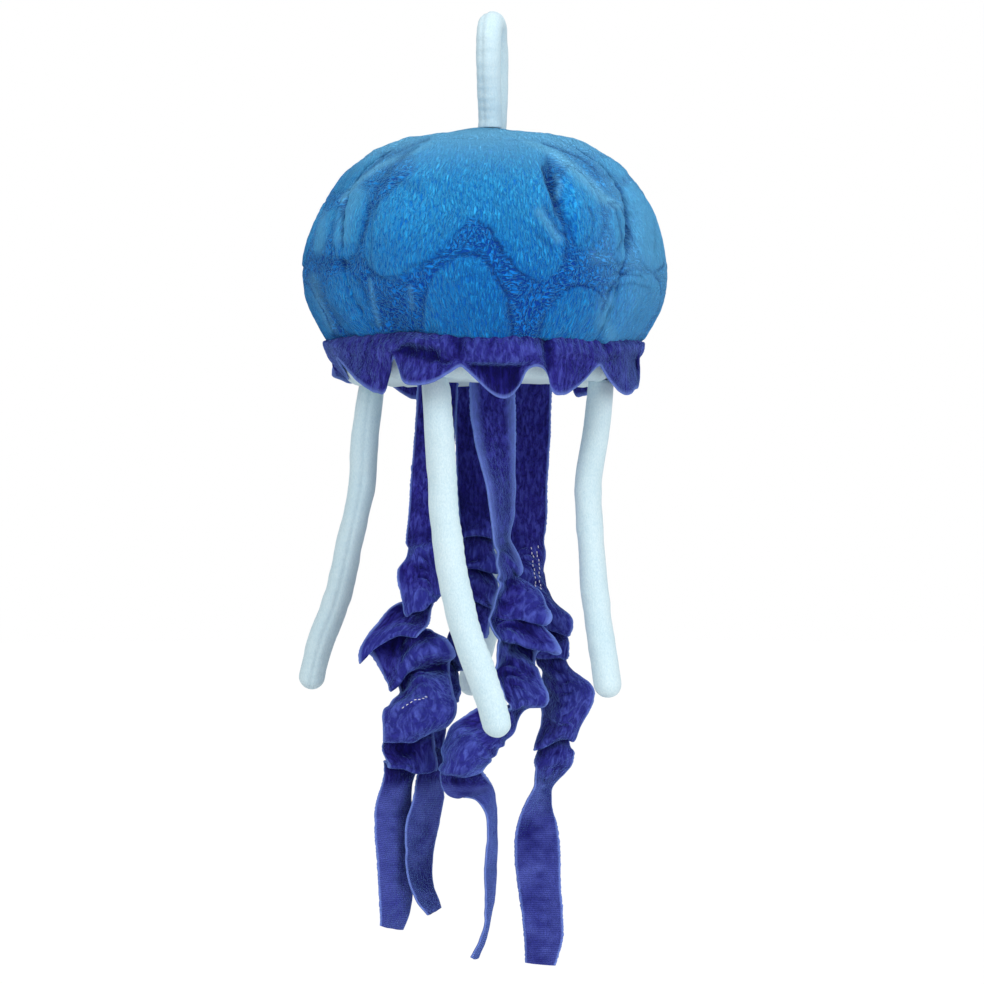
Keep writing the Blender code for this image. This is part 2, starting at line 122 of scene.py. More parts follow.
# The ribbons' cross-sections from the base down to the tails, read from the photo: the
# left edge, the stitched line and the right edge, each as column, row and depth.
RIBBONS = (
    ("ribbon_left", (
        (418, 380, -9, 438, 380, -9, 458, 380, -9), (416, 425, -9, 435, 425, -10, 455, 425, -9),
        (412, 470, -8, 431, 470, -10, 451, 470, -9), (409, 515, -8, 428, 515, -10, 447, 515, -9),
        (406, 540, -9, 424, 540, -11, 445, 538, -9), (401, 562, -14, 421, 560, -16, 443, 556, -11),
        (400, 590, -18, 421, 587, -19, 442, 580, -13), (401, 615, -20, 421, 606, -22, 441, 596, -14),
        (400, 603, -10, 419, 599, -11, 438, 592, -6), (380, 611, -10, 413, 610, -8, 433, 605, -7),
        (367, 636, -15, 402, 622, -13, 430, 616, -12), (363, 661, -18, 393, 641, -19, 420, 634, -16),
        (372, 654, -8, 404, 631, -7, 430, 629, -5), (379, 663, -8, 408, 645, -9, 441, 633, -4),
        (391, 687, -13, 412, 665, -15, 453, 651, -9), (396, 677, -4, 416, 667, -5, 447, 663, -1),
        (402, 687, -9, 424, 679, -12, 447, 682, -6), (391, 711, -20, 420, 705, -25, 452, 706, -14),
        (387, 739, -21, 414, 742, -25, 446, 737, -12), (390, 732, -9, 412, 733, -11, 437, 731, -4),
        (387, 748, -8, 408, 747, -10, 438, 745, -6), (386, 770, -13, 408, 774, -15, 436, 771, -6),
        (387, 765, -3, 401, 764, -5, 421, 765, 0), (383, 782, -5, 398, 784, -2, 412, 782, 4),
        (377, 800, -8, 394, 802, -3, 411, 800, 6), (375, 830, -9, 392, 832, -3, 410, 830, 6),
        (378, 870, -9, 394, 872, -3, 411, 870, 6), (380, 905, -9, 395, 906, -3, 411, 905, 6),
        (380, 928, -9, 391, 931, -3, 402, 932, 5),
    )),
    ("ribbon_back", (
        (456, 380, 20, 476, 380, 20, 497, 380, 20), (456, 430, 20, 475, 430, 20, 495, 430, 20),
        (457, 470, 20, 476, 470, 19, 495, 470, 20), (458, 500, 20, 476, 502, 18, 495, 500, 20),
        (460, 522, 15, 477, 520, 15, 496, 524, 13), (458, 538, 10, 477, 535, 11, 497, 540, 8),
        (462, 532, 22, 477, 530, 21, 490, 534, 25), (460, 552, 13, 476, 550, 13, 498, 556, 10),
        (457, 570, 9, 475, 566, 10, 499, 573, 6), (462, 562, 24, 475, 560, 21, 489, 564, 26),
        (459, 584, 12, 474, 582, 12, 499, 588, 9), (456, 604, 8, 472, 600, 10, 497, 608, 5),
        (462, 596, 22, 472, 594, 20, 486, 598, 25), (458, 616, 12, 470, 612, 12, 494, 620, 9),
        (455, 634, 8, 467, 630, 10, 490, 640, 5), (460, 628, 20, 466, 626, 18, 480, 632, 24),
        (448, 646, 12, 460, 640, 12, 478, 648, 14), (440, 660, 6, 456, 656, 9, 468, 668, 4),
        (446, 660, 18, 456, 660, 17, 464, 668, 18), (440, 680, 8, 452, 676, 9, 464, 692, 4),
        (434, 700, 6, 448, 698, 8, 461, 708, 2), (436, 698, 16, 446, 698, 15, 456, 708, 14),
        (426, 722, 5, 438, 718, 8, 450, 728, 8), (420, 742, 2, 434, 740, 6, 446, 750, 6),
        (422, 740, 12, 432, 744, 12, 444, 752, 14), (418, 760, 4, 430, 762, 7, 443, 767, 11),
        (416, 782, 1, 429, 782, 5, 443, 784, 11), (414, 797, -4, 428, 798, 3, 444, 798, 11),
        (406, 822, -6, 420, 823, 3, 439, 822, 12), (406, 850, -6, 418, 852, 3, 433, 852, 13),
        (410, 885, -6, 420, 886, 3, 433, 886, 12), (420, 906, -6, 428, 904, 1, 438, 898, 8),
        (430, 917, -4, 436, 914, 1, 442, 910, 6),
    )),
    ("ribbon_centre", (
        (470, 380, -20, 492, 380, -20, 514, 380, -20), (471, 415, -25, 493, 415, -20, 515, 415, -17),
        (477, 450, -29, 496, 450, -21, 515, 450, -14), (486, 485, -31, 501, 485, -22, 515, 485, -12),
        (491, 515, -32, 502, 515, -22, 514, 515, -12), (494, 542, -33, 502, 542, -23, 510, 541, -13),
        (495, 556, -32, 503, 555, -22, 523, 556, -18), (494, 572, -32, 505, 572, -23, 519, 577, -23),
        (494, 580, -32, 505, 579, -22, 511, 579, -10), (494, 590, -31, 506, 588, -22, 531, 592, -15),
        (494, 603, -31, 506, 601, -24, 551, 611, -24), (494, 616, -30, 507, 616, -26, 550, 629, -29),
        (493, 619, -30, 507, 616, -20, 529, 621, -12), (493, 627, -30, 507, 624, -22, 547, 634, -22),
        (493, 641, -30, 508, 641, -28, 562, 659, -31), (493, 647, -29, 508, 640, -19, 538, 651, -12),
        (494, 658, -29, 508, 652, -22, 535, 667, -17), (499, 681, -32, 511, 677, -29, 546, 692, -29),
        (508, 708, -35, 521, 709, -32, 541, 707, -28), (494, 704, -24, 508, 706, -24, 528, 705, -18),
        (474, 710, -21, 495, 724, -27, 514, 730, -23), (456, 732, -16, 474, 742, -35, 500, 748, -25),
        (442, 755, -16, 462, 763, -38, 490, 764, -26), (437, 768, -22, 457, 779, -36, 483, 776, -27),
        (441, 765, -12, 458, 771, -20, 480, 769, -19), (440, 780, -12, 459, 784, -16, 485, 775, -16),
        (447, 796, -14, 467, 794, -16, 489, 781, -13), (472, 798, -17, 484, 794, -15, 492, 787, -9),
        (484, 810, -21, 490, 809, -15, 496, 806, -5), (488, 830, -23, 492, 832, -15, 497, 832, -3),
        (485, 865, -23, 490, 866, -14, 496, 866, -2), (486, 900, -22, 489, 900, -13, 493, 900, -2),
        (483, 932, -22, 485, 932, -13, 488, 932, -3), (470, 960, -21, 473, 961, -13, 477, 958, -5),
    )),
    ("ribbon_right", (
        (510, 380, 8, 531, 380, 8, 551, 380, 8), (509, 430, 8, 530, 430, 7, 550, 430, 8),
        (507, 480, 8, 527, 480, 7, 547, 480, 8), (505, 520, 8, 526, 520, 6, 546, 520, 8),
        (505, 550, 8, 527, 550, 5, 543, 550, 9), (508, 575, 3, 531, 573, 4, 546, 575, 11),
        (512, 588, -4, 534, 586, 2, 548, 592, 8), (514, 602, -2, 537, 600, -3, 560, 606, 1),
        (515, 614, 0, 541, 614, -6, 569, 620, -2), (515, 622, 3, 541, 624, -2, 566, 634, -4),
        (518, 622, 11, 540, 620, 9, 553, 624, 12), (518, 634, 4, 542, 632, 2, 564, 638, 3),
        (522, 652, 0, 544, 652, -4, 566, 655, -6), (528, 650, 11, 545, 648, 7, 552, 652, 11),
        (536, 662, 8, 551, 662, 1, 572, 671, 1), (540, 680, 10, 560, 680, -4, 590, 681, -4),
        (540, 700, 9, 567, 699, -8, 595, 694, -6), (539, 722, 6, 562, 723, -8, 583, 719, -3),
        (537, 750, -3, 556, 744, -6, 573, 740, -5), (539, 743, 7, 555, 738, 4, 569, 737, 4),
        (537, 760, -2, 554, 754, -2, 572, 750, 2), (535, 774, -8, 547, 773, 0, 570, 769, 7),
        (535, 786, -11, 541, 788, 1, 552, 785, 12), (524, 806, -7, 538, 806, 0, 552, 806, 8),
        (516, 832, -3, 538, 832, 2, 558, 832, 2), (515, 858, -2, 538, 858, 2, 560, 858, 1),
        (518, 885, -1, 540, 885, 1, 560, 885, -1), (522, 912, 0, 543, 912, 1, 562, 912, -2),
        (525, 940, 1, 544, 940, 0, 562, 940, -2), (526, 965, 1, 540, 967, 0, 554, 968, -3),
    )),
)

# The collar's columns over its front half: its roll, the place below it, the middle of the
# scallop and its edge. At the left, where the photo hardly shows them, each is an azimuth,
# a radius and a height in mm, and further on a column and row of the photo and a radius.
COLLAR_SIDE = (
    ((-100.6, 79, -155), (-100.6, 78.5, -158), (-100.6, 78, -161), (-100.6, 77.5, -164.5)),
    ((-95, 80, -154), (-95, 79, -158), (-95, 76, -163), (-95, 72, -168)),
    ((-88, 80.3, -153.5), (-88, 79.2, -158.5), (-88, 75, -165), (-87, 68.5, -171)),
    ((-81, 80.3, -154), (-81, 79, -159), (-81, 75, -165), (-80, 69, -171.5)),
    ((-75, 79.5, -155), (-75, 78.5, -159), (-75, 76, -163), (-74, 73, -167.5)),
)
COLLAR_FRONT = (
    ((334.5, 345, 80.5), (335, 350, 80.5), (335.5, 354, 80.8), (337, 358, 81)),
    ((350, 348, 80), (350, 356, 80.3), (349, 363, 80.5), (346, 369, 81)),
    ((366, 348, 79.5), (366, 358, 80), (364, 369, 80), (359, 382, 80.5)),
    ((379, 348, 79.5), (379, 360, 79.5), (378, 375, 79.5), (376, 392, 79)),
    ((387, 347, 80.5), (388, 356, 80), (389, 371, 79), (387, 387, 78)),
    ((392.5, 348, 81), (392.5, 352, 80.5), (392.5, 355, 80), (393, 358, 79.5)),
    ((397, 346, 81.5), (397, 352, 79.5), (397, 359, 80.5), (397.5, 367, 81.5)),
    ((406, 342, 82.5), (407, 350.5, 77.8), (405, 363, 81.5), (402, 380, 83.5)),
    ((421, 341, 82.5), (421, 353.5, 77.2), (420, 367, 82), (416, 384, 84.5)),
    ((437, 344, 82), (437, 357, 77.5), (437, 367, 81.5), (435, 380, 83.5)),
    ((449, 348, 81.5), (450, 360.5, 79.5), (450, 366, 81), (450, 372, 82)),
    ((458, 350, 79.5), (458.5, 358, 80), (459, 362.5, 80.5), (460, 366, 80.5)),
    ((466, 350, 81), (467, 360, 81), (467, 365, 79.5), (466.5, 370, 80.5)),
    ((479, 350, 82.3), (479.5, 361.5, 82), (480, 365.8, 77.6), (480, 382.1, 79.6)),
    ((495, 350, 82.8), (495.5, 362.5, 82.6), (495.4, 368.4, 76.6), (496.4, 395, 79.8)),
    ((507, 350, 82.8), (507, 362.5, 82.6), (506.3, 369, 76.6), (507, 397, 79.8)),
    ((519, 350, 82.3), (519, 362, 82), (518, 367.2, 77.4), (517.4, 388, 79.6)),
    ((528, 350, 81.5), (528, 360.5, 81), (527.5, 365, 79.5), (526.5, 371, 80.3)),
    ((538, 350, 80.8), (538, 358, 80.8), (538, 363, 80.3), (538, 366, 80)),
    ((547, 352, 78.2), (547, 360, 78.5), (547.5, 368, 79), (548, 376, 79)),
    ((554, 350, 80.8), (553, 361, 79.8), (551.5, 374, 80), (551, 388, 80.5)),
    ((567, 350, 81.3), (566, 361.5, 80), (565, 376, 80.5), (563, 394, 80.5)),
    ((580, 350, 81), (579, 361, 80), (577, 373, 80), (575, 388, 80.5)),
    ((590, 352, 80.8), (589, 361, 80.5), (587, 370, 80.5), (585, 380, 80.5)),
    ((599, 353, 81), (599.5, 359, 81), (600, 362, 81), (600, 365.5, 80.8)),
    ((606, 352, 80), (606, 360, 79.5), (606, 367, 79.5), (605.5, 374, 79.5)),
    ((615, 349, 81), (615, 360, 79.2), (615, 373, 79.5), (614, 386, 79.5)),
    ((624, 347, 80.5), (624, 359, 78.8), (625, 376, 79), (626, 394, 79.8)),
    ((631.5, 347, 79.3), (630, 360, 77.2), (633, 375, 78.2), (635, 389, 79)),
    ((636.5, 347, 78.2), (634.5, 360, 76), (637, 374, 77.6), (640, 383, 79)),
)
# The collar's seam, as radius and height, and the shoulder between seam and roll: how far
# inside the roll it is, and its share of the way up to SHOULDER_TOP_Z. All in mm.
COLLAR_SEAM = (74.8, -151.4)
SHOULDER_INSET = 1.5
SHOULDER_RISE = 0.42
SHOULDER_TOP_Z = -152.0
# The back half is the front half turned, with its hem drawn up towards BACK_NOTCH_Z.
COLLAR_TURN = 180.0
BACK_NOTCH_Z = -163.0
BACK_DROP = 0.85
LAST_SCALLOP_AZIMUTH = 229.4
LAST_SCALLOP_DROP = 0.5
# The lengths, in mm, that the cloth takes from seam to shoulder, roll and so on to the edge.
COLLAR_LEVEL_STEPS = (6.0, 4.0, 6.0, 5.0, 6.5)
COLLAR_COLUMNS, COLLAR_ROWS = 560, 34
COLLAR_LUMPS = ((10.0, 0.55), (4.5, 0.35), (2.2, 0.12))
BASE_COLUMNS = 220
BASE_LUMPS = ((22.0, 0.8), (8.0, 0.3))

# The bell: how finely it is meshed and what shows on it.
BELL_COLUMNS = 490
BELL_RINGS = 200
FIRST_COLUMN_AZIMUTH = 137.0
# Marks on the front of the bell, each as width (mm), strength and line in the photo. These first ones are
# painted highlights, which also lift the cloth a little.
HIGHLIGHT_MARKS = (
    (1.2, 0.4, ((370, 281), (374, 304), (379, 325))),
    (1.2, 0.3, ((410, 287), (412, 308))),
    (3, 0.4, ((322, 215), (320, 235), (319, 248))),
    (4.5, 0.4, ((357, 191), (346, 214), (341, 238))),
    (2.5, 0.5, ((312, 278), (320, 304), (331, 329))),
    (5, 0.35, ((640, 212), (643, 232), (642, 246))),
    (4, 0.3, ((608, 212), (610, 230), (608, 244))),
    (3.4, 0.85, ((498, 131), (530, 143), (555, 154), (575, 170), (590, 184), (602, 198), (616, 206))),
    (2, 0.75, ((343, 200), (362, 178), (380, 166), (404, 156), (432, 144))),
    (2.4, 0.45, ((539, 212), (549, 225), (558, 239))),
    (5, 0.3, ((598, 256), (622, 260), (643, 267), (662, 272))),
    (1.4, 0.6, ((556, 198), (560, 186), (556, 176))),
    (5, 0.45, ((608, 300), (604, 322), (612, 336))),
)
# Dark lines of the pile's pattern and its dark ground, mixed with painted shade in creases and along seams.
PATTERN_AND_SHADE_MARKS = (
    (5, 0.5, ((308, 262), (335, 262), (360, 264))),
    (1.6, 0.75, ((412, 149), (393, 166), (379, 182), (369, 212), (364, 232), (357, 248))),
    (0.9, 0.6, ((337, 208), (332, 226), (331, 247))),
    (2.5, 0.5, ((352, 172), (335, 193), (326, 205))),
    (1.1, 0.6, ((429, 138), (383, 157), (356, 180))),
    (0.7, 0.7, ((368, 275), (385, 278), (400, 275), (412, 266), (442, 256))),
    (1.4, 0.6, ((308, 273), (322, 298), (343, 323))),
    (0.8, 0.5, ((333, 279), (347, 277), (364, 291), (367, 304))),
    (3.5, 0.4, ((392, 178), (402, 182), (416, 186))),
    (4, 0.35, ((385, 300), (390, 318), (398, 330))),
    (0.8, 0.5, ((600, 300), (612, 288), (632, 283), (650, 288))),
    (0.9, 1, ((543, 167), (547, 182), (551, 192), (555, 206), (556, 216))),
    (1.8, 0.85, ((547, 207), (553, 220), (560, 231), (566, 235))),
    (1.4, 0.6, ((560, 216), (566, 228), (571, 222))),
    (0.8, 0.8, ((608, 203), (616, 209), (620, 222), (623, 240), (618, 250))),
    (0.7, 0.6, ((589, 207), (594, 218), (593, 230), (588, 240), (580, 246))),
    (0.8, 0.8, ((543, 143), (560, 149), (580, 157), (594, 167), (600, 178))),
    (1.8, 0.5, ((600, 175), (615, 177), (628, 183))),
    (1.8, 0.45, ((538, 236), (546, 242), (552, 248))),
    (0.7, 0.5, ((655, 222), (656, 240), (655, 252))),
    (0.7, 0.6, ((602, 264), (622, 274), (642, 276))),
    (0.9, 0.7, ((373, 219), (380, 190), (395, 164), (418, 146))),
    (0.8, 0.6, ((372, 219), (370, 250), (372, 276))),
)
# White stitches that show on a ribbon, as lines in the photo.
STITCH_LINES = {
    "ribbon_right": (
        ((532, 546), (533, 560), (535, 592)),
        ((537, 545), (538, 560), (540, 590)),
    ),
    "ribbon_left": (
        ((402, 709), (412, 701), (429, 697)),
    ),
}
STITCH_PITCH = 2.1 * MM
STITCH_LENGTH = 1.3 * MM
STITCH_THICKNESS = 0.5 * MM

SPOT_EDGE = 1.6 * MM
# Outlines of the smooth spots on the front half: azimuth in degrees and length
# down the cloth from the crown in mm. The back half mirrors them.
SPOTS = (
    ((-38, 127), (-35, 135), (-28, 138.5), (-20, 135), (-13, 126), (-7, 116), (-3, 112),
     (2, 117), (6, 127), (11, 136), (17, 140), (22, 136), (24.5, 127), (24, 112), (22, 95),
     (24, 80), (27, 66), (12, 61), (-6, 60), (-24, 61), (-33, 68), (-27, 76), (-25, 86),
     (-31, 95), (-37, 108)),
    ((-20, 172), (-18, 150), (-13, 136), (-6, 130), (1, 134), (6, 147), (8, 172)),
    ((20, 160), (23, 150), (29, 144), (36, 144), (41, 152), (42, 172), (22, 172)),
    ((27, 92), (31, 83), (37, 88), (40, 104), (37, 119), (31, 125), (27, 115), (26, 103)),
    ((-57, 108), (-54, 96), (-49, 92), (-42, 97), (-40, 110), (-42, 124), (-48, 128), (-54, 122)),
    ((-69, 113), (-66, 104), (-60, 101), (-58, 112), (-61, 122), (-66, 124)),
    ((-61, 150), (-57, 139), (-48, 135), (-41, 141), (-40, 154), (-44, 165), (-54, 166), (-60, 160)),
    ((-90, 152), (-86, 140), (-76, 138), (-69, 146), (-69, 160), (-78, 168), (-88, 164)),
    ((-76, 85), (-69, 72), (-57, 66), (-50, 74), (-56, 86), (-67, 92)),
    ((-90, 118), (-86, 100), (-78, 96), (-74, 106), (-76, 122), (-84, 128)),
    ((42, 117), (43, 106), (48, 102), (52, 112), (51, 124), (46, 130)),
    ((55, 118), (57, 98), (64, 86), (74, 84), (82, 98), (80, 118), (70, 130), (59, 130)),
    ((41, 152), (46, 139), (56, 134), (70, 138), (79, 150), (74, 165), (56, 171), (44, 166)),
    ((50, 80), (59, 70), (73, 68), (80, 76), (67, 81), (56, 88)),
    ((84, 158), (86, 142), (90, 140), (90, 166)),
)
# Low places in the stuffing: azimuth, height, depth in mm, then their reach in
# degrees and in mm.
LOW_PLACES = (
    (-84, -84, 4.0, 40, 22), (-40, -150, 1.2, 14, 10), (30, -140, 1.0, 10, 12),
    (96, -92, 1.2, 26, 16), (200, -96, 2.0, 22, 18), (150, -140, 1.4, 18, 12),
)
BELL_LUMPS = ((30.0, 1.3), (13.0, 0.6))
CROWN_DROP = 2.6 * MM
# The gore seams' way round: heights above the collar's seam in mm, then degrees
# further from the front and the back than at the crown.
SEAM_HEIGHTS = (0.0, 15.0, 30.0, 50.0, 70.0, 82.0, 95.0, 106.0)
SEAM_WIDENING = (0.0, 2.0, 5.0, 10.0, 16.0, 14.0, 5.0, 0.0)
# How far the bell's lower edge sags over the collar: azimuth, then mm.
SAG_AZIMUTHS = (-180, -100, -69, -41, -27, -17, -3, 21, 34, 49, 64, 90, 180)
SAGS = (2.0, 2.0, 1.5, 1.2, 0.2, 1.0, 3.2, 3.3, 3.8, 4.1, 1.8, 1.5, 2.0)
SAG_REACH = 22.0 * MM

# The ribbons: their mesh, where they are gathered, and how the folds between the sections
# are warped, slanted, rounded and puckered.
RIBBON_ROWS = 760
RIBBON_COLUMNS = 21
RIBBON_CLOTH = 1.5 * MM
GATHER_TOP_Z = -252.0 * MM
GATHER_WARPS = ((16.0 * MM, 4.0 * MM), (8.0 * MM, 0.8 * MM))
FOLD_ROUNDING = 5
FOLD_SLANT = 9.0 * MM
FOLD_SLANT_SIZE = 19.0 * MM
FOLD_SLANT_WIDTH = 17.0 * MM
PUCKER_PITCH = 15.0 * MM
PUCKER_HEIGHT = 0.6 * MM
RIBBON_LUMPS = ((9.0, 0.5), (3.6, 0.25))
TAIL_TOP_Z = -371.0 * MM

# The stage, in metres, and the lamps: place, size and power in watts.
FLOOR_RADIUS = 6.0
FLOOR_CORNERS = 96
FLOOR_Z = -0.62
LAMP_TARGET = (0.0, 0.0, -0.18)
LAMPS = (
    ("key", (-0.75, -1.35, 0.75), 1.0, 12.0),
    ("fill", (1.2, -1.1, 0.1), 1.1, 11.0),
    ("top", (0.1, -0.2, 1.4), 0.8, 9.0),
)


def smoothstep(x):
    x = np.clip(x, 0.0, 1.0)
    return x * x * (3.0 - 2.0 * x)


def ripples(length, pitch, sway, slow, phase=0.0):
    """Waves of that pitch along a length, which slowly crowd and spread."""
    return np.sin(2 * math.pi * length / pitch + sway * np.sin(length / slow + phase))


def gathers(turn, count, sway, slow):
    """That many waves in a full turn, which crowd and spread a few times round."""
    return np.sin(turn * count + sway * np.sin(turn * slow))


def hump(distance, reach):
    """1 at no distance, falling off smoothly over the reach."""
    return np.exp(-((distance / reach) ** 2))


def unit(vectors):
    return vectors / np.linalg.norm(vectors, axis=-1, keepdims=True)


def from_photo(column, row, depth=0.0):
    """The point, in mm, that shows at a place in the photo and lies at that depth."""
    scale = 1 + depth / EYE_DISTANCE
    across, up = (column - PHOTO_MIDDLE) * PHOTO_SCALE, (PHOTO_MIDDLE - row) * PHOTO_SCALE
    return across * scale, depth, EYE_HEIGHT + up * scale


def to_segment(x, z, start, end):
    """Distance from the places x, z to a straight piece."""
    (x0, z0), (x1, z1) = start, end
    dx, dz = x1 - x0, z1 - z0
    t = np.clip(((x - x0) * dx + (z - z0) * dz) / (dx * dx + dz * dz + 1e-12), 0, 1)
    return np.hypot(x - x0 - t * dx, z - z0 - t * dz)


def photo_line(places):
    """A line in the photo as x and z on the upright plane through the bell's axis."""
    return np.array([from_photo(*place) for place in places])[:, ::2] * MM


def on_photo_plane(points):
    """Where points show on that plane, seen from the photo's camera."""
    scale, height = 1 + points[..., 1] / (EYE_DISTANCE * MM), EYE_HEIGHT * MM
    return points[..., 0] / scale, height + (points[..., 2] - height) / scale


def azimuth_gap(azimuth, other):
    return (np.asarray(azimuth) - other + 180.0) % 360.0 - 180.0


def lattice(x, y, z, seed):
    """A repeatable number from -1 to 1 for each whole-numbered place."""
    mixed = (x * 374761393 + y * 668265263 + z * 1440662683 + seed * 974711) & 0xFFFFFFFF
    mixed = ((mixed ^ (mixed >> 13)) * 1274126177) & 0xFFFFFFFF
    return ((mixed ^ (mixed >> 16)) & 0xFFFF) / 32767.5 - 1.0


def noise(points, size, seed):
    """Smooth noise from -1 to 1 at the points, with features of that size."""
    scaled = np.asarray(points) / size
    corner = np.floor(scaled).astype(np.int64)
    part = scaled - corner
    part = part * part * (3.0 - 2.0 * part)
    total = 0.0
    for dx in (0, 1):
        share_x = part[..., 0] if dx else 1 - part[..., 0]
        for dy in (0, 1):
            share_y = part[..., 1] if dy else 1 - part[..., 1]
            for dz in (0, 1):
                share_z = part[..., 2] if dz else 1 - part[..., 2]
                value = lattice(corner[..., 0] + dx, corner[..., 1] + dy, corner[..., 2] + dz, seed)
                total = total + share_x * share_y * share_z * value
    return total


def lumps(points, seed, *layers):
    """Noise added up from layers, each with its size and its height in mm."""
    total = 0.0
    for number, (size, height) in enumerate(layers):
        total = total + noise(points, size * MM, seed + number) * height * MM
    return total


def along(stations, at, steps=None):
    """The stations' smooth curve, sampled at the given lengths along it."""
    if steps is None:
        steps = np.linalg.norm(np.diff(stations[:, :3], axis=0), axis=1)
    knots = np.concatenate([[0.0], np.cumsum(steps)])
    slopes = np.gradient(stations, knots, axis=0)
    at = np.asarray(at) * knots[-1]
    left = np.clip(np.searchsorted(knots, at, side="right") - 1, 0, len(steps) - 1)
    span = steps[left][:, None]
    u = (at - knots[left])[:, None] / span
    return (
        stations[left] * (1 + 2 * u) * (1 - u) ** 2
        + slopes[left] * span * u * (1 - u) ** 2
        + stations[left + 1] * u * u * (3 - 2 * u)
        + slopes[left + 1] * span * u * u * (u - 1)
    )


def grid_normals(grid):
    return unit(np.cross(np.gradient(grid, axis=0), np.gradient(grid, axis=1)) + 1e-15)


def ring_normals(rings):
    """Outward normals of a stack of closed rings that runs downwards."""
    down = np.gradient(rings, axis=0)
    round_ = np.roll(rings, -1, axis=1) - np.roll(rings, 1, axis=1)
    return unit(np.cross(down, round_) + 1e-15)


def spread_out(values, reach, axis, wraps):
    """Values averaged over their neighbours that far along an axis."""
    values = np.moveaxis(values, axis, 0)
    if wraps:
        padded = np.concatenate([values[-reach:], values, values[:reach]])
    else:
        first, last = np.repeat(values[:1], reach, 0), np.repeat(values[-1:], reach, 0)
        padded = np.concatenate([first, values, last])
    sums = np.concatenate([np.zeros_like(padded[:1]), np.cumsum(padded, axis=0)])
    width = 2 * reach + 1
    return np.moveaxis((sums[width:] - sums[:-width]) / width, 0, axis)


def hollowness(points, normals, depth, down, across, wraps=False):
    """How far each point lies below the smoothed surface round it, from -1 on a ridge to 1 in a fold."""
    smooth = points
    for _ in range(2):
        smooth = spread_out(spread_out(smooth, down, 0, False), across, 1, wraps)
    return np.clip(((smooth - points) * normals).sum(axis=-1) / depth, -1.0, 1.0)


def add_piece(name, points, faces, material, values):
    """A smooth mesh, with point values stored for its material."""
    mesh = bpy.data.meshes.new(name)
    mesh.from_pydata(points, [], faces)
    mesh.polygons.foreach_set("use_smooth", [True] * len(mesh.polygons))
    for key, value in values.items():
        value = np.asarray(value, np.float32)
        kind, field = ("FLOAT_VECTOR", "vector") if value.ndim == 3 else ("FLOAT", "value")
        mesh.attributes.new(key, kind, "POINT").data.foreach_set(field, value.ravel())
    mesh.materials.append(material)
    mesh.update()
    piece = bpy.data.objects.new(name, mesh)
    bpy.context.scene.collection.objects.link(piece)
    return piece


def piece_from_rings(name, rings, material, values, joined=False):
    """A closed piece over a stack of rings, capped, or with its last ring joined to its first."""
    count, sides = rings.shape[:2]
    ring, side = np.meshgrid(np.arange(count - (not joined)), np.arange(sides), indexing="ij")
    below, right = (ring + 1) % count, (side + 1) % sides
    corners = ((ring, side), (below, side), (below, right), (ring, right))
    quads = np.stack([row * sides + column for row, column in corners], axis=-1)
    faces = quads.reshape(-1, 4).tolist()
    if not joined:
        faces.append(list(range(sides)))
        faces.append(list(reversed(range((count - 1) * sides, count * sides))))
    return add_piece(name, rings.reshape(-1, 3).tolist(), faces, material, values)


def dress(piece, node):
    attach(piece, "root")
    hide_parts(node)


class Cloth:
    """A fabric material: its node tree, with short calls to add and join nodes."""

    def __init__(self, name, roughness, sheen, sheen_roughness, sheen_tint):
        self.material = bpy.data.materials.new(name)
        self.material.use_nodes = True
        self.tree = self.material.node_tree
        self.shader = self.tree.nodes["Principled BSDF"]
        for key, value in (
            ("Roughness", roughness), ("Specular IOR Level", 0.12), ("Sheen Weight", sheen),
            ("Sheen Roughness", sheen_roughness), ("Sheen Tint", sheen_tint),
        ):
            self.put(self.shader, key, value)

    def node(self, kind, **inputs):
        made = self.tree.nodes.new("ShaderNode" + kind)
        for key, value in inputs.items():
            self.put(made, key, value)
        return made

    def put(self, made, key, value):
        socket = made.inputs[int(key[1:]) if key[0] == "_" else key.replace("_", " ")]
        if isinstance(value, bpy.types.NodeSocket):
            self.tree.links.new(value, socket)
        elif socket.type == "RGBA":
            socket.default_value = (*value, 1.0)
        else:
            socket.default_value = value

    def attribute(self, name, output="Fac"):
        made = self.tree.nodes.new("ShaderNodeAttribute")
        made.attribute_name = name
        return made.outputs[output]

    def place(self, scale=(1.0, 1.0, 1.0), source=None):
        """Position on the object, or a stored vector, stretched by the scale."""
        if source is None:
            source = self.tree.nodes.new("ShaderNodeTexCoord").outputs["Object"]
        made = self.node("Mapping", Vector=source, Scale=scale)
        return made.outputs["Vector"]

    def noise(self, where, scale, detail=2.0, roughness=0.5, distortion=0.0):
        made = self.node(
            "TexNoise", Vector=where, Scale=scale, Detail=detail, Roughness=roughness, Distortion=distortion
        )
        return made.outputs["Fac"]

    def ramp(self, value, low, high):
        """The value from low to high, spread over 0 to 1."""
        made = self.node("MapRange", Value=value, From_Min=low, From_Max=high)
        return made.outputs["Result"]

    def maths(self, operation, a, b):
        made = self.tree.nodes.new("ShaderNodeMath")
        made.operation = operation
        self.put(made, "_0", a)
        self.put(made, "_1", b)
        return made.outputs[0]

    def mix(self, share, a, b, blend="MIX"):
        made = self.tree.nodes.new("ShaderNodeMix")
        made.data_type = "RGBA"
        made.blend_type = blend
        self.put(made, "_0", share)
        self.put(made, "_6", a)
        self.put(made, "_7", b)
        return made.outputs[2]

    def bump(self, height, strength, distance, normal=None):
        made = self.node("Bump", Strength=strength, Distance=distance, Height=height)
        if normal is not None:
            self.put(made, "Normal", normal)
        return made.outputs["Normal"]

    def finish(self, colour, normal):
        self.put(self.shader, "Base_Color", colour)
        self.put(self.shader, "Normal", normal)
        return self.material


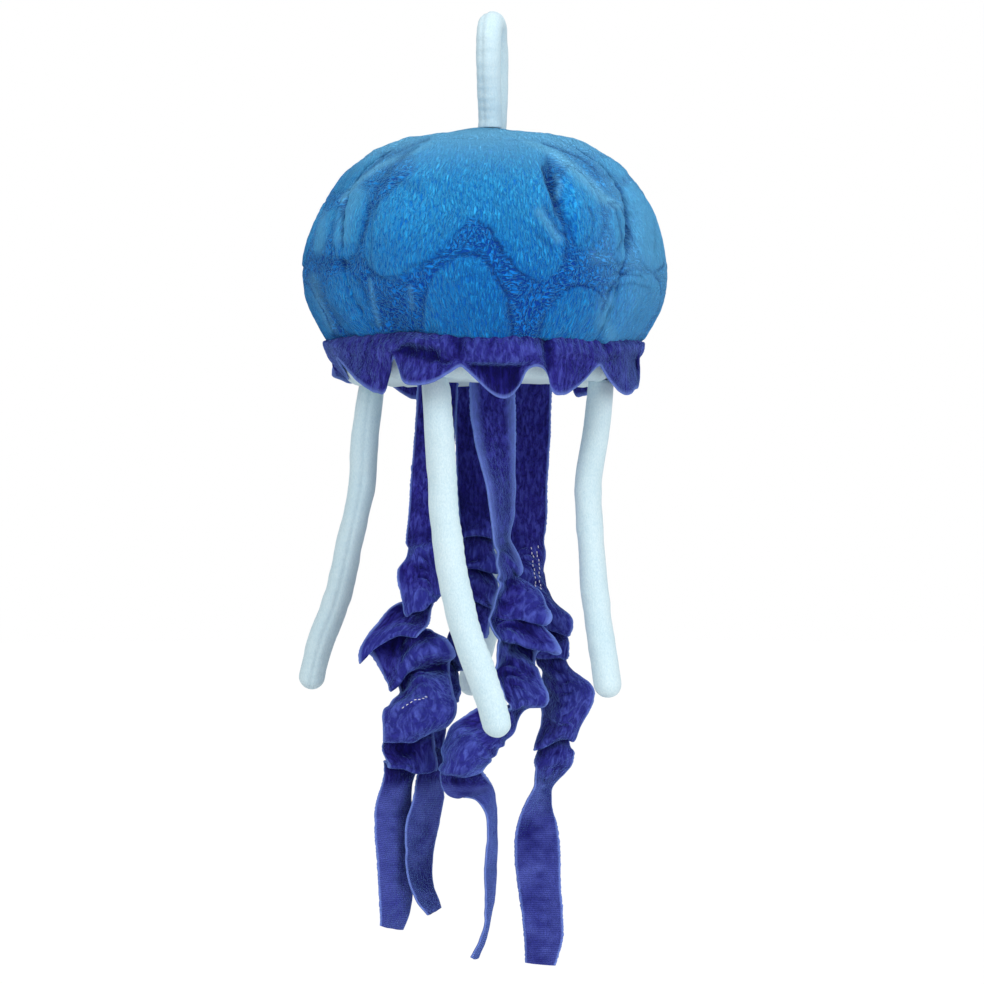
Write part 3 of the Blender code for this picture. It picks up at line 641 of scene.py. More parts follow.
def bell_cloth():
    cloth = Cloth("sky blue sculpted plush", 0.85, 0.55, 0.28, (0.20, 0.66, 1.0))
    spot = cloth.attribute("spot")
    line = cloth.attribute("line")
    pale = cloth.attribute("pale")
    hollow = cloth.attribute("hollow")
    fur = cloth.attribute("fur", "Vector")
    swirl = cloth.noise(cloth.place(source=fur), 95.0)
    shade = cloth.attribute("shade")
    level = cloth.noise(cloth.place((0.45, 1.0, 1.0), fur), 800.0, 1.5, 0.5, 1.2)
    steep = cloth.noise(cloth.place((1.0, 0.5, 1.0), fur), 800.0, 1.5, 0.5, 1.2)
    upright = cloth.noise(cloth.place((1.0, 0.27, 1.0), fur), 1100.0, 2.5, 0.6, 0.8)
    drift = cloth.noise(cloth.place(), 30.0, 3.0, 0.6, 0.5)
    curls = cloth.ramp(cloth.mix(cloth.ramp(swirl, 0.44, 0.56), level, steep), 0.40, 0.60)
    strokes = cloth.ramp(upright, 0.36, 0.66)
    ground = cloth.mix(curls, (0.001, 0.078, 0.410), (0.015, 0.315, 0.860))
    light = cloth.mix(strokes, (0.002, 0.180, 0.640), (0.040, 0.490, 0.980))
    colour = cloth.mix(spot, ground, light)
    colour = cloth.mix(cloth.ramp(drift, 0.35, 0.65), colour, (0.78, 0.92, 0.96), "MULTIPLY")
    colour = cloth.mix(shade, colour, (0.34, 0.64, 0.84), "MULTIPLY")
    # Painted highlight: the paler crown, seam ridges, highlight marks and right side.
    colour = cloth.mix(pale, colour, (0.180, 0.580, 0.940))
    # Dark 'line': the spots' outlines and pattern marks, with painted shade in the seams' grooves and the
    # crease.
    colour = cloth.mix(cloth.maths("MULTIPLY", line, 0.75), colour, (0.003, 0.045, 0.270))
    # Painted shade in the hollows of the cloth.
    colour = cloth.mix(cloth.ramp(hollow, 0.1, 1.0), colour, (0.42, 0.50, 0.62), "MULTIPLY")
    piled = cloth.bump(cloth.mix(spot, curls, strokes), 1.0, 0.0014)
    return cloth.finish(colour, piled)


def pale_cloth():
    cloth = Cloth("pale blue velour", 0.85, 0.35, 0.4, (0.9, 0.97, 1.0))
    nap = cloth.noise(cloth.place((1.0, 1.0, 0.6)), 1300.0, 3.0, 0.6, 0.3)
    drift = cloth.noise(cloth.place(), 45.0, 3.0, 0.55, 0.4)
    colour = cloth.mix(cloth.ramp(nap, 0.3, 0.7), (0.57, 0.75, 0.83), (0.71, 0.86, 0.91))
    colour = cloth.mix(cloth.ramp(drift, 0.35, 0.75), colour, (0.92, 0.96, 0.98), "MULTIPLY")
    # Painted shade: darker in the tubes' seam grooves and all over the pieces given a painted shade share.
    line = cloth.attribute("line")
    colour = cloth.mix(cloth.maths("MULTIPLY", line, 0.25), colour, (0.36, 0.52, 0.62))
    return cloth.finish(colour, cloth.bump(nap, 0.4, 0.0006))


def indigo_cloth():
    cloth = Cloth("indigo velour", 0.85, 0.85, 0.30, (0.22, 0.42, 1.0))
    flat = cloth.attribute("cloth", "Vector")
    knit_side = cloth.attribute("knit")
    edge = cloth.attribute("edge")
    hollow = cloth.attribute("hollow")
    nap = cloth.noise(cloth.place((1.0, 0.6, 1.0), flat), 900.0, 3.0, 0.6, 0.8)
    streaks = cloth.noise(cloth.place((1.0, 0.35, 1.0), flat), 480.0, 3.0, 0.6, 0.6)
    drift = cloth.noise(cloth.place(), 70.0, 3.0, 0.6, 0.5)
    courses = cloth.tree.nodes.new("ShaderNodeTexWave")
    courses.bands_direction = "Y"
    cloth.put(courses, "Vector", cloth.place(source=flat))
    for key, value in (("Scale", 330.0), ("Distortion", 1.2), ("Detail", 2.0), ("Detail_Scale", 2.0)):
        cloth.put(courses, key, value)
    pile = cloth.ramp(nap, 0.34, 0.66)
    velour = cloth.mix(pile, (0.007, 0.005, 0.115), (0.030, 0.026, 0.290))
    streaks_up = cloth.ramp(streaks, 0.46, 0.70)
    velour = cloth.mix(streaks_up, velour, (0.066, 0.078, 0.460))
    knit = cloth.mix(courses.outputs["Fac"], (0.055, 0.072, 0.360), (0.100, 0.130, 0.520))
    colour = cloth.mix(knit_side, velour, knit)
    colour = cloth.mix(cloth.ramp(drift, 0.38, 0.66), colour, (0.52, 0.50, 0.70), "MULTIPLY")
    # Painted shade in the folds and under the lips.
    colour = cloth.mix(cloth.ramp(hollow, 0.0, 0.75), colour, (0.20, 0.16, 0.46), "MULTIPLY")
    # Painted highlight on the ridges of the folds.
    highlight_share = cloth.maths("MULTIPLY", cloth.ramp(hollow, -0.35, -1.0), 0.5)
    ridge_highlight_colour = cloth.mix(streaks_up, (0.035, 0.045, 0.340), (0.130, 0.185, 0.740))
    colour = cloth.mix(highlight_share, colour, ridge_highlight_colour)
    # Painted sheen along the edges.
    colour = cloth.mix(cloth.maths("MULTIPLY", edge, 0.85), colour, (0.190, 0.290, 0.800))
    piled = cloth.bump(pile, 0.7, 0.0008)
    seam_ridge_highlight = cloth.bump(cloth.maths("MULTIPLY", courses.outputs["Fac"], knit_side), 0.35, 0.0003, piled)
    return cloth.finish(colour, seam_ridge_highlight)


def thread():
    cloth = Cloth("white thread", 0.7, 0.1, 0.4, (1.0, 1.0, 1.0))
    twist = cloth.noise(cloth.place(), 2200.0, 2.0)
    colour = cloth.mix(twist, (0.62, 0.64, 0.80), (0.85, 0.86, 0.94))
    return cloth.finish(colour, cloth.bump(twist, 0.3, 0.0002))


def bell_profile():
    """Radius, height and length down the cloth of the bell's rings."""
    turn = np.linspace(math.radians(0.6), math.pi / 2, 700)
    rise = np.cos(turn)
    radius = BELL_RADIUS * (1 - rise**BELL_FLATNESS) ** BELL_FULLNESS
    z = BELL_EQUATOR_Z + rise * BELL_UPPER_HEIGHT
    lowest = math.acos(BELL_SEAM_RADIUS / BELL_RADIUS)
    turn = np.linspace(0.0, lowest, 200)[1:]
    radius = np.concatenate([radius, BELL_RADIUS * np.cos(turn)])
    z = np.concatenate([z, BELL_EQUATOR_Z - BELL_LOWER_HEIGHT * np.sin(turn) / math.sin(lowest)])
    length = radius[0] + np.concatenate([[0.0], np.cumsum(np.hypot(np.diff(radius), np.diff(z)))])
    at = np.linspace(length[0], length[-1], BELL_RINGS)
    return np.interp(at, length, radius), np.interp(at, length, z), at


def towards_side(seam):
    """1 where a larger azimuth takes a seam away from the front or the back, otherwise -1."""
    return math.copysign(1.0, math.sin(math.radians(2 * seam)))


def gore_seam_azimuth(seam, z):
    """Where a gore seam runs at that height: the front and back gores are widest above the equator."""
    height = (z - BELL_SEAM_Z) / MM
    wider = np.interp(height, SEAM_HEIGHTS, SEAM_WIDENING)
    return seam + towards_side(seam) * wider


def bell_swell(radius, z, azimuth):
    """How far the cloth stands out from the plain dome: gores, their seams and the crease."""
    swell = np.full(azimuth.shape, GORE_CROWN)
    for seam in GORE_SEAM_AZIMUTHS:
        aside = np.radians(azimuth_gap(azimuth, gore_seam_azimuth(seam, z))) * radius
        below = 0.2 + 0.8 * smoothstep((z - BELL_EQUATOR_Z) / (14 * MM))
        swell -= (GORE_CROWN + GORE_SEAM_DEPTH) * below * np.exp(-np.abs(aside / GORE_SEAM_WIDTH) ** 1.5)
    aside = np.radians(azimuth_gap(azimuth, CREASE_AZIMUTH)) * radius
    fade = 1 - smoothstep(np.abs(z - CREASE_MIDDLE_Z) / (CREASE_LENGTH / 2))
    fold = hump(aside, np.where(aside < 0, CREASE_WIDTH, 0.4 * CREASE_WIDTH))
    swell -= 1.9 * CREASE_DEPTH * fade * fold
    swell += 0.6 * CREASE_DEPTH * fade * hump(aside - CREASE_WIDTH, 0.8 * CREASE_WIDTH)
    crown_fade = smoothstep((radius - 6 * MM) / (30 * MM))
    rim_fade = 0.35 + 0.65 * smoothstep((z - BELL_SEAM_Z) / (18 * MM))
    return swell * crown_fade * rim_fade


def rounded(outline, per_side=5):
    """A closed smooth curve through the outline's corners."""
    points = np.array(outline, float)
    t = (np.arange(per_side) / per_side)[None, :, None]
    a, b, c, d = (np.roll(points, shift, axis=0)[:, None] for shift in (1, 0, -1, -2))
    curve = 2 * b + (c - a) * t + (2 * a - 5 * b + 4 * c - d) * t**2 + (3 * b - a - 3 * c + d) * t**3
    return (curve / 2).reshape(-1, 2)


def spot_depth(azimuth, length, radius):
    """Distance inside the nearest spot, in metres, less than 0 outside."""
    depth = np.full(azimuth.shape, -1.0)
    for outline in SPOTS:
        for mirrored in (False, True):
            corners = rounded(outline)
            if mirrored:
                corners[:, 0] = 180.0 - corners[:, 0]
            middle = corners[:, 0].mean()
            scale = np.radians(1.0) * radius
            x = azimuth_gap(azimuth, middle) * scale
            close = np.abs(x) < 75 * MM
            px, py, ps = x[close], (length + 0 * x)[close], (scale + 0 * x)[close]
            nearest = np.full(px.shape, 1.0)
            inside = np.zeros(px.shape, bool)
            ends = np.roll(corners, -1, axis=0)
            for (a0, s0), (a1, s1) in zip(corners, ends):
                x0, y0, x1, y1 = (a0 - middle) * ps, s0 * MM, (a1 - middle) * ps, s1 * MM
                nearest = np.minimum(nearest, to_segment(px, py, (x0, y0), (x1, y1)))
                crossed = (y0 > py) != (y1 > py)
                rise = y1 - y0 if y1 != y0 else 1e-12
                inside ^= crossed & (px < x0 + (py - y0) / rise * (x1 - x0))
            signed = np.where(inside, nearest, -nearest)
            depth[close] = np.maximum(depth[close], signed)
    return depth


def marks_at(points, marks):
    """How strongly the marks show at the points, which only the front side takes."""
    x, z = on_photo_plane(points)
    total = np.zeros(x.shape)
    for width, strength, line in marks:
        line = photo_line(line)
        nearest = np.full(x.shape, 1.0)
        for start, end in zip(line, line[1:]):
            nearest = np.minimum(nearest, to_segment(x, z, start, end))
        total = np.maximum(total, strength * hump(nearest, width * MM))
    return total * smoothstep(-points[..., 1] / (45 * MM))


def bell_rings(radius, z, azimuth):
    """The plain bell: gores, crease, low places and the dip round its crown."""
    out = radius + bell_swell(radius, z, azimuth)
    for place, height, depth, wide, tall in LOW_PLACES:
        reach = (azimuth_gap(azimuth, place) / wide) ** 2 + ((z / MM - height) / tall) ** 2
        out = out - depth * MM * np.exp(-reach) * smoothstep(radius / (40 * MM))
    heights = np.broadcast_to(z - CROWN_DROP * hump(radius - 27 * MM, 15 * MM), out.shape)
    turn = np.radians(azimuth)
    return np.stack([BELL_AXIS_X + out * np.sin(turn), -out * np.cos(turn), heights], axis=-1)


def along_the_seams(radius, z, length, azimuth):
    """The gore seams' grooves, the painted highlight on the ridge inside each and the puckers across them."""
    grooves, seam_ridge_highlight, puckers = (np.zeros(azimuth.shape) for _ in range(3))
    for number, seam in enumerate(GORE_SEAM_AZIMUTHS):
        aside = np.radians(azimuth_gap(azimuth, gore_seam_azimuth(seam, z))) * radius
        inward = -aside * towards_side(seam)
        seam_ridge_highlight = np.maximum(seam_ridge_highlight, hump(inward - 4.0 * MM, 2.6 * MM))
        grooves = np.maximum(grooves, hump(aside, 1.0 * MM))
        waves = ripples(length, 9 * MM, 1.7, 9 * MM, number)
        puckers += waves * np.exp(-np.abs(aside / (6 * MM)))
    return grooves, seam_ridge_highlight, puckers


def spots_and_outlines(rings, radius, length, azimuth):
    """How smooth the plush is, inside the spots, and how dark it is along their edges."""
    wobble = noise(rings, 8 * MM, 5) * 0.9 * MM + noise(rings * (1, 1, 0.4), 1.8 * MM, 6) * 0.9 * MM
    inside = spot_depth(azimuth, length, radius) + wobble
    blur = SPOT_EDGE * (1 + 1.6 * smoothstep(0.35 + noise(rings, 19 * MM, 9)))
    spot = smoothstep(0.5 + inside / (2 * blur))
    spot = spot * (1 - 0.35 * smoothstep(0.1 + 0.9 * noise(rings, 16 * MM, 10)))
    outline = hump(inside + 0.9 * MM, 0.9 * MM)
    outline = outline * (0.3 + 0.7 * smoothstep(0.55 + 1.2 * noise(rings, 14 * MM, 8)))
    return spot, outline * (0.4 + 0.6 * smoothstep((length - 70 * MM) / (40 * MM)))


def pile(rings, spot):
    """The pile's curls outside the spots and its upright strokes inside them."""
    level = rings * (0.55, 0.55, 1.15) + noise(rings, 7 * MM, 14)[..., None] * 1.3 * MM
    curls = noise(level, 1.9 * MM, 11) * 0.65 + noise(rings, 3.4 * MM, 12) * 0.35
    strokes = noise(rings * (1.15, 1.15, 0.5), 1.9 * MM, 13)
    return (curls * (1 - spot) * 0.42 + strokes * spot * 0.22) * MM


def make_bell(material):
    radius, z, length = (row[:, None] for row in bell_profile())
    columns = FIRST_COLUMN_AZIMUTH + np.arange(BELL_COLUMNS) * 360.0 / BELL_COLUMNS
    azimuth = np.tile(columns, (BELL_RINGS, 1))
    turn = np.radians(azimuth)
    rings = bell_rings(radius, z, azimuth)
    normals = ring_normals(rings)
    grooves, seam_ridge_highlight, puckers = along_the_seams(radius, z, length, azimuth)
    crown_fade = smoothstep((radius - 8 * MM) / (20 * MM))
    grooves = grooves * crown_fade
    spot, outline = spots_and_outlines(rings, radius, length, azimuth)
    above_seam = z - BELL_SEAM_Z
    gathered = gathers(turn, 57, 2.6, 5) * (0.5 + 0.5 * noise(rings, 20 * MM, 15))
    gathered = gathered * smoothstep((16 * MM - above_seam) / (16 * MM))
    lift = lumps(rings, 2, *BELL_LUMPS) + pile(rings, spot)
    lift = lift + (puckers * 0.4 - grooves * 1.1 + spot * 0.5 - outline * 0.6 + gathered * 0.8) * MM
    low = smoothstep((12.0 * MM - above_seam) / (12.0 * MM))
    tuck = smoothstep((2.0 * MM - above_seam) / (2.0 * MM))
    lift = lift * (0.15 + 0.85 * crown_fade) + (low - tuck) * 1.2 * MM
    rings = rings + normals * lift[..., None]
    sag = np.interp((columns + 180.0) % 360.0 - 180.0, SAG_AZIMUTHS, SAGS) * MM
    rings[..., 2] -= smoothstep((SAG_REACH - above_seam) / SAG_REACH) * sag[None, :]
    # Painted highlights, and dark marks that are partly painted shade, also raise and sink the cloth.
    highlight_marks, pattern_and_shade_marks = marks_at(rings, HIGHLIGHT_MARKS), marks_at(rings, PATTERN_AND_SHADE_MARKS)
    rings = rings + normals * ((highlight_marks * 0.7 - pattern_and_shade_marks * 0.9) * MM)[..., None]

    # Painted light ('pale'): the crown, the ridge inside each upper seam, the highlight marks and the right
    # side are painted paler.
    high = smoothstep((z - BELL_EQUATOR_Z) / (25 * MM))
    behind = smoothstep(rings[..., 1] / (20 * MM))
    from_right = azimuth_gap(azimuth, 90.0)
    right = smoothstep((from_right + 62.0) / 30.0) * smoothstep((62.0 - from_right) / 30.0)
    pale = 0.85 * smoothstep((96 * MM - length) / (48 * MM))
    pale = np.maximum(pale, 0.8 * seam_ridge_highlight * high * crown_fade * behind)
    pale = np.maximum(pale, highlight_marks)
    pale = np.maximum(pale, 0.5 * right * (1 - 0.5 * smoothstep((length - 120 * MM) / (40 * MM))))
    crease = 1 - smoothstep(np.abs(z - CREASE_MIDDLE_Z) / (CREASE_LENGTH / 2))
    aside = np.radians(azimuth_gap(azimuth, CREASE_AZIMUTH)) * radius
    crease = crease * hump(aside + 0.8 * MM, 1.9 * MM)
    # The spots' outlines and pattern marks, plus painted shade in the seam grooves (stronger higher up) and
    # in the crease.
    line = np.maximum(grooves * (0.15 + 0.5 * high), outline)
    lay = noise(rings, 24 * MM, 16) * 4.5 * MM
    shape = azimuth.shape
    values = {
        "spot": spot,
        "line": np.maximum(line, np.maximum(crease * 0.5, pattern_and_shade_marks)),
        "shade": np.broadcast_to(smoothstep((length - 92 * MM) / (62 * MM)), shape),
        "hollow": hollowness(rings, normals, 1.0 * MM, 5, 5, wraps=True),
        "pale": pale,
        "fur": np.stack([turn * BELL_RADIUS + lay, np.broadcast_to(length, shape), np.zeros(shape)], axis=-1),
    }
    bell = piece_from_rings("plush_bell", rings, material, values)
    dress(bell, "bell")


def make_base(material):
    corner = BASE_RADIUS - BASE_TAPER - BASE_CORNER
    turn = np.linspace(0.0, math.pi / 2, 12)[1:]
    bend = BASE_BOTTOM_Z + BASE_CORNER
    # The profile from the middle of the top over the side and its corner to the middle below.
    profile = (
        ([0.6 * MM], [BASE_TOP_Z]),
        (np.linspace(12 * MM, BASE_RADIUS - 1 * MM, 6), np.full(6, BASE_TOP_Z)),
        (np.linspace(BASE_RADIUS, corner + BASE_CORNER, 14), np.linspace(BASE_TOP_Z - 0.6 * MM, bend, 14)),
        (corner + BASE_CORNER * np.cos(turn), bend - BASE_CORNER * np.sin(turn)),
        (np.linspace(corner, 0.6 * MM, 46)[1:], np.full(45, BASE_BOTTOM_Z)),
    )
    radius, z = (np.concatenate(parts)[:, None] for parts in zip(*profile))
    round_ = np.arange(BASE_COLUMNS) * 2 * math.pi / BASE_COLUMNS
    heights = np.broadcast_to(z, (len(z), BASE_COLUMNS))
    rings = np.stack([BELL_AXIS_X + radius * np.sin(round_), -radius * np.cos(round_), heights], axis=-1)
    under = smoothstep((BASE_TOP_Z - 2 * MM - z) / (6 * MM))
    puckers = gathers(round_, 46, 2.0, 7)[None, :]
    near_rim = hump(radius - corner - 3 * MM, 9 * MM)
    lift = (lumps(rings, 21, *BASE_LUMPS) + puckers * near_rim * 0.55 * MM) * under
    rings = rings + ring_normals(rings) * lift[..., None]
    base = piece_from_rings("puffed_base", rings, material, {"line": np.zeros(rings.shape[:2])})
    dress(base, "base_panel")


def collar_point(column, row, radius):
    """Azimuth, radius and height, in degrees and mm, of a place in the photo on the collar."""
    azimuth = 0.0
    for _ in range(8):
        x, z = from_photo(column, row, -radius * math.cos(math.radians(azimuth)))[::2]
        share = (x - BELL_AXIS_X / MM) / radius
        azimuth = math.degrees(math.asin(max(-1.0, min(1.0, share))))
    return round(azimuth, 1), radius, round(z, 1)


def collar_net():
    """The collar's control points round the whole seam, as azimuth, radius and height."""
    columns = list(COLLAR_SIDE) + [[collar_point(*place) for place in column] for column in COLLAR_FRONT]
    net = []
    for roll, *others in columns:
        azimuth, radius, z = roll
        shoulder = (azimuth, radius - SHOULDER_INSET, z + SHOULDER_RISE * (SHOULDER_TOP_Z - z))
        net.append([(azimuth, *COLLAR_SEAM), shoulder, roll, *others])
    front = np.array(net, float)
    back = front + (COLLAR_TURN, 0.0, 0.0)
    drop = np.where(back[:, 0, 0] > LAST_SCALLOP_AZIMUTH, LAST_SCALLOP_DROP, BACK_DROP)[:, None]
    back[:, 3:, 2] = BACK_NOTCH_Z + (back[:, 3:, 2] - BACK_NOTCH_Z) * drop
    return np.concatenate([front, back])


def collar_front(azimuth):
    """The collar's outer layer, row by row from the seam to the scallops' edge."""
    net = collar_net()
    wrapped = np.concatenate([net[-4:] - (360.0, 0, 0), net, net[:4] + (360.0, 0, 0)])
    tops = wrapped[:, 0, 0]
    at = (azimuth - tops[0]) / (tops[-1] - tops[0])
    columns = along(wrapped.reshape(len(wrapped), -1), at, np.diff(tops)).reshape(len(at), -1, 3)
    levels = columns.transpose(1, 0, 2).reshape(columns.shape[1], -1)
    rows = along(levels, np.linspace(0, 1, COLLAR_ROWS), np.array(COLLAR_LEVEL_STEPS))
    rows = rows.reshape(COLLAR_ROWS, len(at), 3)
    turn, radius, z = np.radians(rows[..., 0]), rows[..., 1] * MM, rows[..., 2] * MM
    return np.stack([BELL_AXIS_X + radius * np.sin(turn), -radius * np.cos(turn), z], axis=-1)


def make_collar(material):
    """Two layers of velour, puffed between their seams and turned at the scallops' edge."""
    azimuth = COLLAR_SIDE[0][0][0] + np.arange(COLLAR_COLUMNS) * 360.0 / COLLAR_COLUMNS
    turn = np.radians(azimuth)
    share = np.linspace(0, 1, COLLAR_ROWS)
    front = collar_front(azimuth)
    facing = ring_normals(front)
    gathered = gathers(turn, 96, 2.2, 11)[None, :] * hump(share, 0.42)[:, None]
    lift = lumps(front, 31, *COLLAR_LUMPS) + gathered * 0.4 * MM
    front = front + facing * (lift * smoothstep(share * 5)[:, None])[..., None]
    hollow = hollowness(front, facing, 0.9 * MM, 4, 7, wraps=True)
    thick = (0.9 + 2.1 * (1 - share[:, None] ** 5)) * MM
    middle = front - facing * (thick / 2)[..., None]
    back = front - facing * thick[..., None]
    edge = middle[-1] + unit(middle[-1] - middle[-2]) * 0.5 * MM
    rings = np.concatenate([front, edge[None], back[::-1]])
    down = np.concatenate([share, [1.0], share[::-1]])[:, None]
    cloth = [np.broadcast_to(part, rings.shape[:2]) for part in (turn * COLLAR_RADIUS, down * 0.026, 0.0)]
    to_edge = np.linalg.norm(np.diff(front, axis=0), axis=2)[::-1].cumsum(axis=0)[::-1]
    to_edge = np.concatenate([to_edge, np.zeros((1, COLLAR_COLUMNS))])
    # Painted sheen along the scallops' turned edge.
    rim_sheen = 0.75 * (1 - smoothstep((to_edge - 0.3 * MM) / (1.3 * MM)))
    values = {
        "cloth": np.stack(cloth, axis=-1),
        "edge": np.concatenate([rim_sheen, np.full((1, COLLAR_COLUMNS), 0.75), rim_sheen[::-1]]),
        "knit": np.zeros(rings.shape[:2]),
        # Painted shade in folds and painted highlight on ridges, on the outer layer only.
        "hollow": np.concatenate([hollow * 0.75, hollow[-1:] * 0, hollow[::-1] * 0]),
    }
    collar = piece_from_rings("scalloped_frill", rings, material, values, joined=True)
    dress(collar, "scalloped_collar")


def stuffed_tube(node, name, centre, across, away, wide, deep, seed, sides, material, painted_shade):
    """A stuffed tube: rings round a centre line, a little uneven, with a seam down one side."""
    turn = np.arange(sides) * 2 * math.pi / sides
    ring = across[:, None] * (wide[:, None] * np.cos(turn))[..., None]
    rings = centre[:, None] + ring + away[:, None] * (deep[:, None] * np.sin(turn))[..., None]
    off_seam = azimuth_gap(np.degrees(turn), TUBE_SEAM)
    seam = hump(off_seam, 9.0)[None, :]
    beside = np.exp(-(np.abs(off_seam) / 38.0))[None, :]
    length = np.concatenate([[0], np.cumsum(np.linalg.norm(np.diff(centre, axis=0), axis=1))])[:, None]
    puckers = ripples(length, 5.2 * MM, 1.5, 11 * MM) * beside
    lift = lumps(rings, seed, *TUBE_LUMPS) - seam * 0.6 * MM + puckers * 0.16 * MM
    full = np.minimum(wide / wide.max(), 1.0)[:, None]
    rings = rings + ring_normals(rings) * (lift * full)[..., None]
    # Painted shade: the seam's groove and the piece's painted shade share darken its colour.
    line = np.broadcast_to(np.maximum(seam, painted_shade), rings.shape[:2])
    piece = piece_from_rings(name, rings, material, {"line": line})
    dress(piece, node)


def make_tentacles(material):
    for name, quarter, drop, route, painted_shade in TENTACLES:
        azimuth = math.radians(FIRST_TENTACLE_AZIMUTH + 90.0 * quarter)
        outward = np.array([math.sin(azimuth), -math.cos(azimuth), 0.0])
        root = outward * (BASE_RADIUS - TENTACLE_INSET) + (BELL_AXIS_X, 0.0, BASE_BOTTOM_Z - SEAM_GAP)
        stations = np.array([root] + [root + (x * MM, y * MM, -down * drop) for x, y, down in route])
        length = np.linalg.norm(np.diff(stations, axis=0), axis=1).sum()
        tip = TENTACLE_DEPTH / 2 / length
        bow = np.linspace(0, math.pi / 2, 12)[1:] * 0.985
        at = np.concatenate([np.linspace(0, 1 - tip, 190), 1 - tip * (1 - np.sin(bow))])
        full = np.concatenate([np.ones(190), np.cos(bow)])
        from_root = np.concatenate([np.linspace(0, 1, 190), np.ones(len(bow))])
        full = full * (1 - 0.10 * np.exp(-from_root * 34))
        centre = along(stations, at)
        tangent = unit(np.gradient(centre, axis=0))
        tangent[0] = (0, 0, -1)
        centre[0, 2] += 1.0 * MM
        across = unit(np.cross(tangent, outward))
        wide, deep = full * TENTACLE_WIDTH / 2, full * TENTACLE_DEPTH / 2
        away = np.cross(across, tangent)
        seed = 40 + 3 * quarter
        stuffed_tube(
            name, name + "_velour", centre, across, away, wide, deep, seed, TENTACLE_SIDES, material, painted_shade
        )


def make_loop(material):
    foot_z = BELL_TOP_Z - 0.8 * MM
    height = LOOP_TUBE_RADIUS - foot_z
    half = [(0.0, LOOP_TUBE_RADIUS)]
    half += [(across * LOOP_HALF_WIDTH, LOOP_TUBE_RADIUS - down * height) for across, down in LOOP_ROUTE]
    half.append((LOOP_FOOT_SPREAD, foot_z))
    route = np.array([(-across, up) for across, up in reversed(half[1:])] + half)
    turn = math.radians(LOOP_TURN)
    x, y = LOOP_CENTRE_X + route[:, 0] * math.sin(turn), route[:, 0] * math.cos(turn)
    centre = along(np.stack([x, y, route[:, 1]], axis=-1), np.linspace(0, 1, 220))
    away = np.broadcast_to((math.cos(turn), -math.sin(turn), 0.0), centre.shape)
    across = unit(np.cross(unit(np.gradient(centre, axis=0)), away))
    radius = np.full(len(centre), LOOP_TUBE_RADIUS)
    # The loop gets a 0.6 share of painted shade.
    stuffed_tube(
        "hanging_loop", "loop_velour", centre, across, away, radius * 1.05, radius, 60, 48, material, 0.6
    )


def ribbon_surface(sections, seed):
    """The middle surface of a ribbon, how gathered it is, and the length down its cloth, row by row."""
    marks = [[from_photo(*row[at : at + 3]) for at in (0, 3, 6)] for row in sections]
    marks = np.array([[[round(value, 1) for value in point] for point in row] for row in marks]) * MM
    steps = np.linalg.norm(np.diff(marks, axis=0), axis=2).mean(axis=1)
    marks = marks.reshape(len(marks), 9)
    at = np.linspace(0, 1, RIBBON_ROWS)
    height = spread_out(along(marks, at, steps)[:, 5], 20, 0, False)
    gather = smoothstep((GATHER_TOP_Z - height) / (10 * MM)) * smoothstep((height - TAIL_TOP_Z) / (8 * MM))
    aside = np.linspace(-1, 1, RIBBON_COLUMNS)
    columns = []
    for across in aside:
        place = np.stack([at * steps.sum(), np.full(len(at), across * FOLD_SLANT_WIDTH), 0 * at], axis=-1)
        slant = noise(place, FOLD_SLANT_SIZE, seed + 30) * FOLD_SLANT / steps.sum() * gather
        left, middle, right = np.split(along(marks, np.clip(at + slant, 0, 1), steps), 3, axis=1)
        columns.append(middle + across * (right - left) / 2 + across**2 * ((left + right) / 2 - middle))
    grid = np.stack(columns, axis=1)
    for size, reach in GATHER_WARPS:
        push = np.stack([noise(grid, size, seed + axis) for axis in (20, 21, 22)], axis=-1)
        grid = grid + push * reach * gather[:, None, None]
    for _ in range(2):
        grid = spread_out(grid, FOLD_ROUNDING, 0, False)
    run = np.linalg.norm(np.diff(grid, axis=0), axis=2).mean(axis=1)
    run = np.concatenate([[0.0], np.cumsum(run)])
    lift = 0.0
    for side in (-1, 1):
        waves = gather * ripples(run, PUCKER_PITCH, 2.1, 11 * MM, seed + side)
        outwards = np.clip(side * aside, 0, 1) ** 0.7
        lift = lift + waves[:, None] * outwards[None, :] * PUCKER_HEIGHT
    return grid + grid_normals(grid) * lift[..., None], gather, run


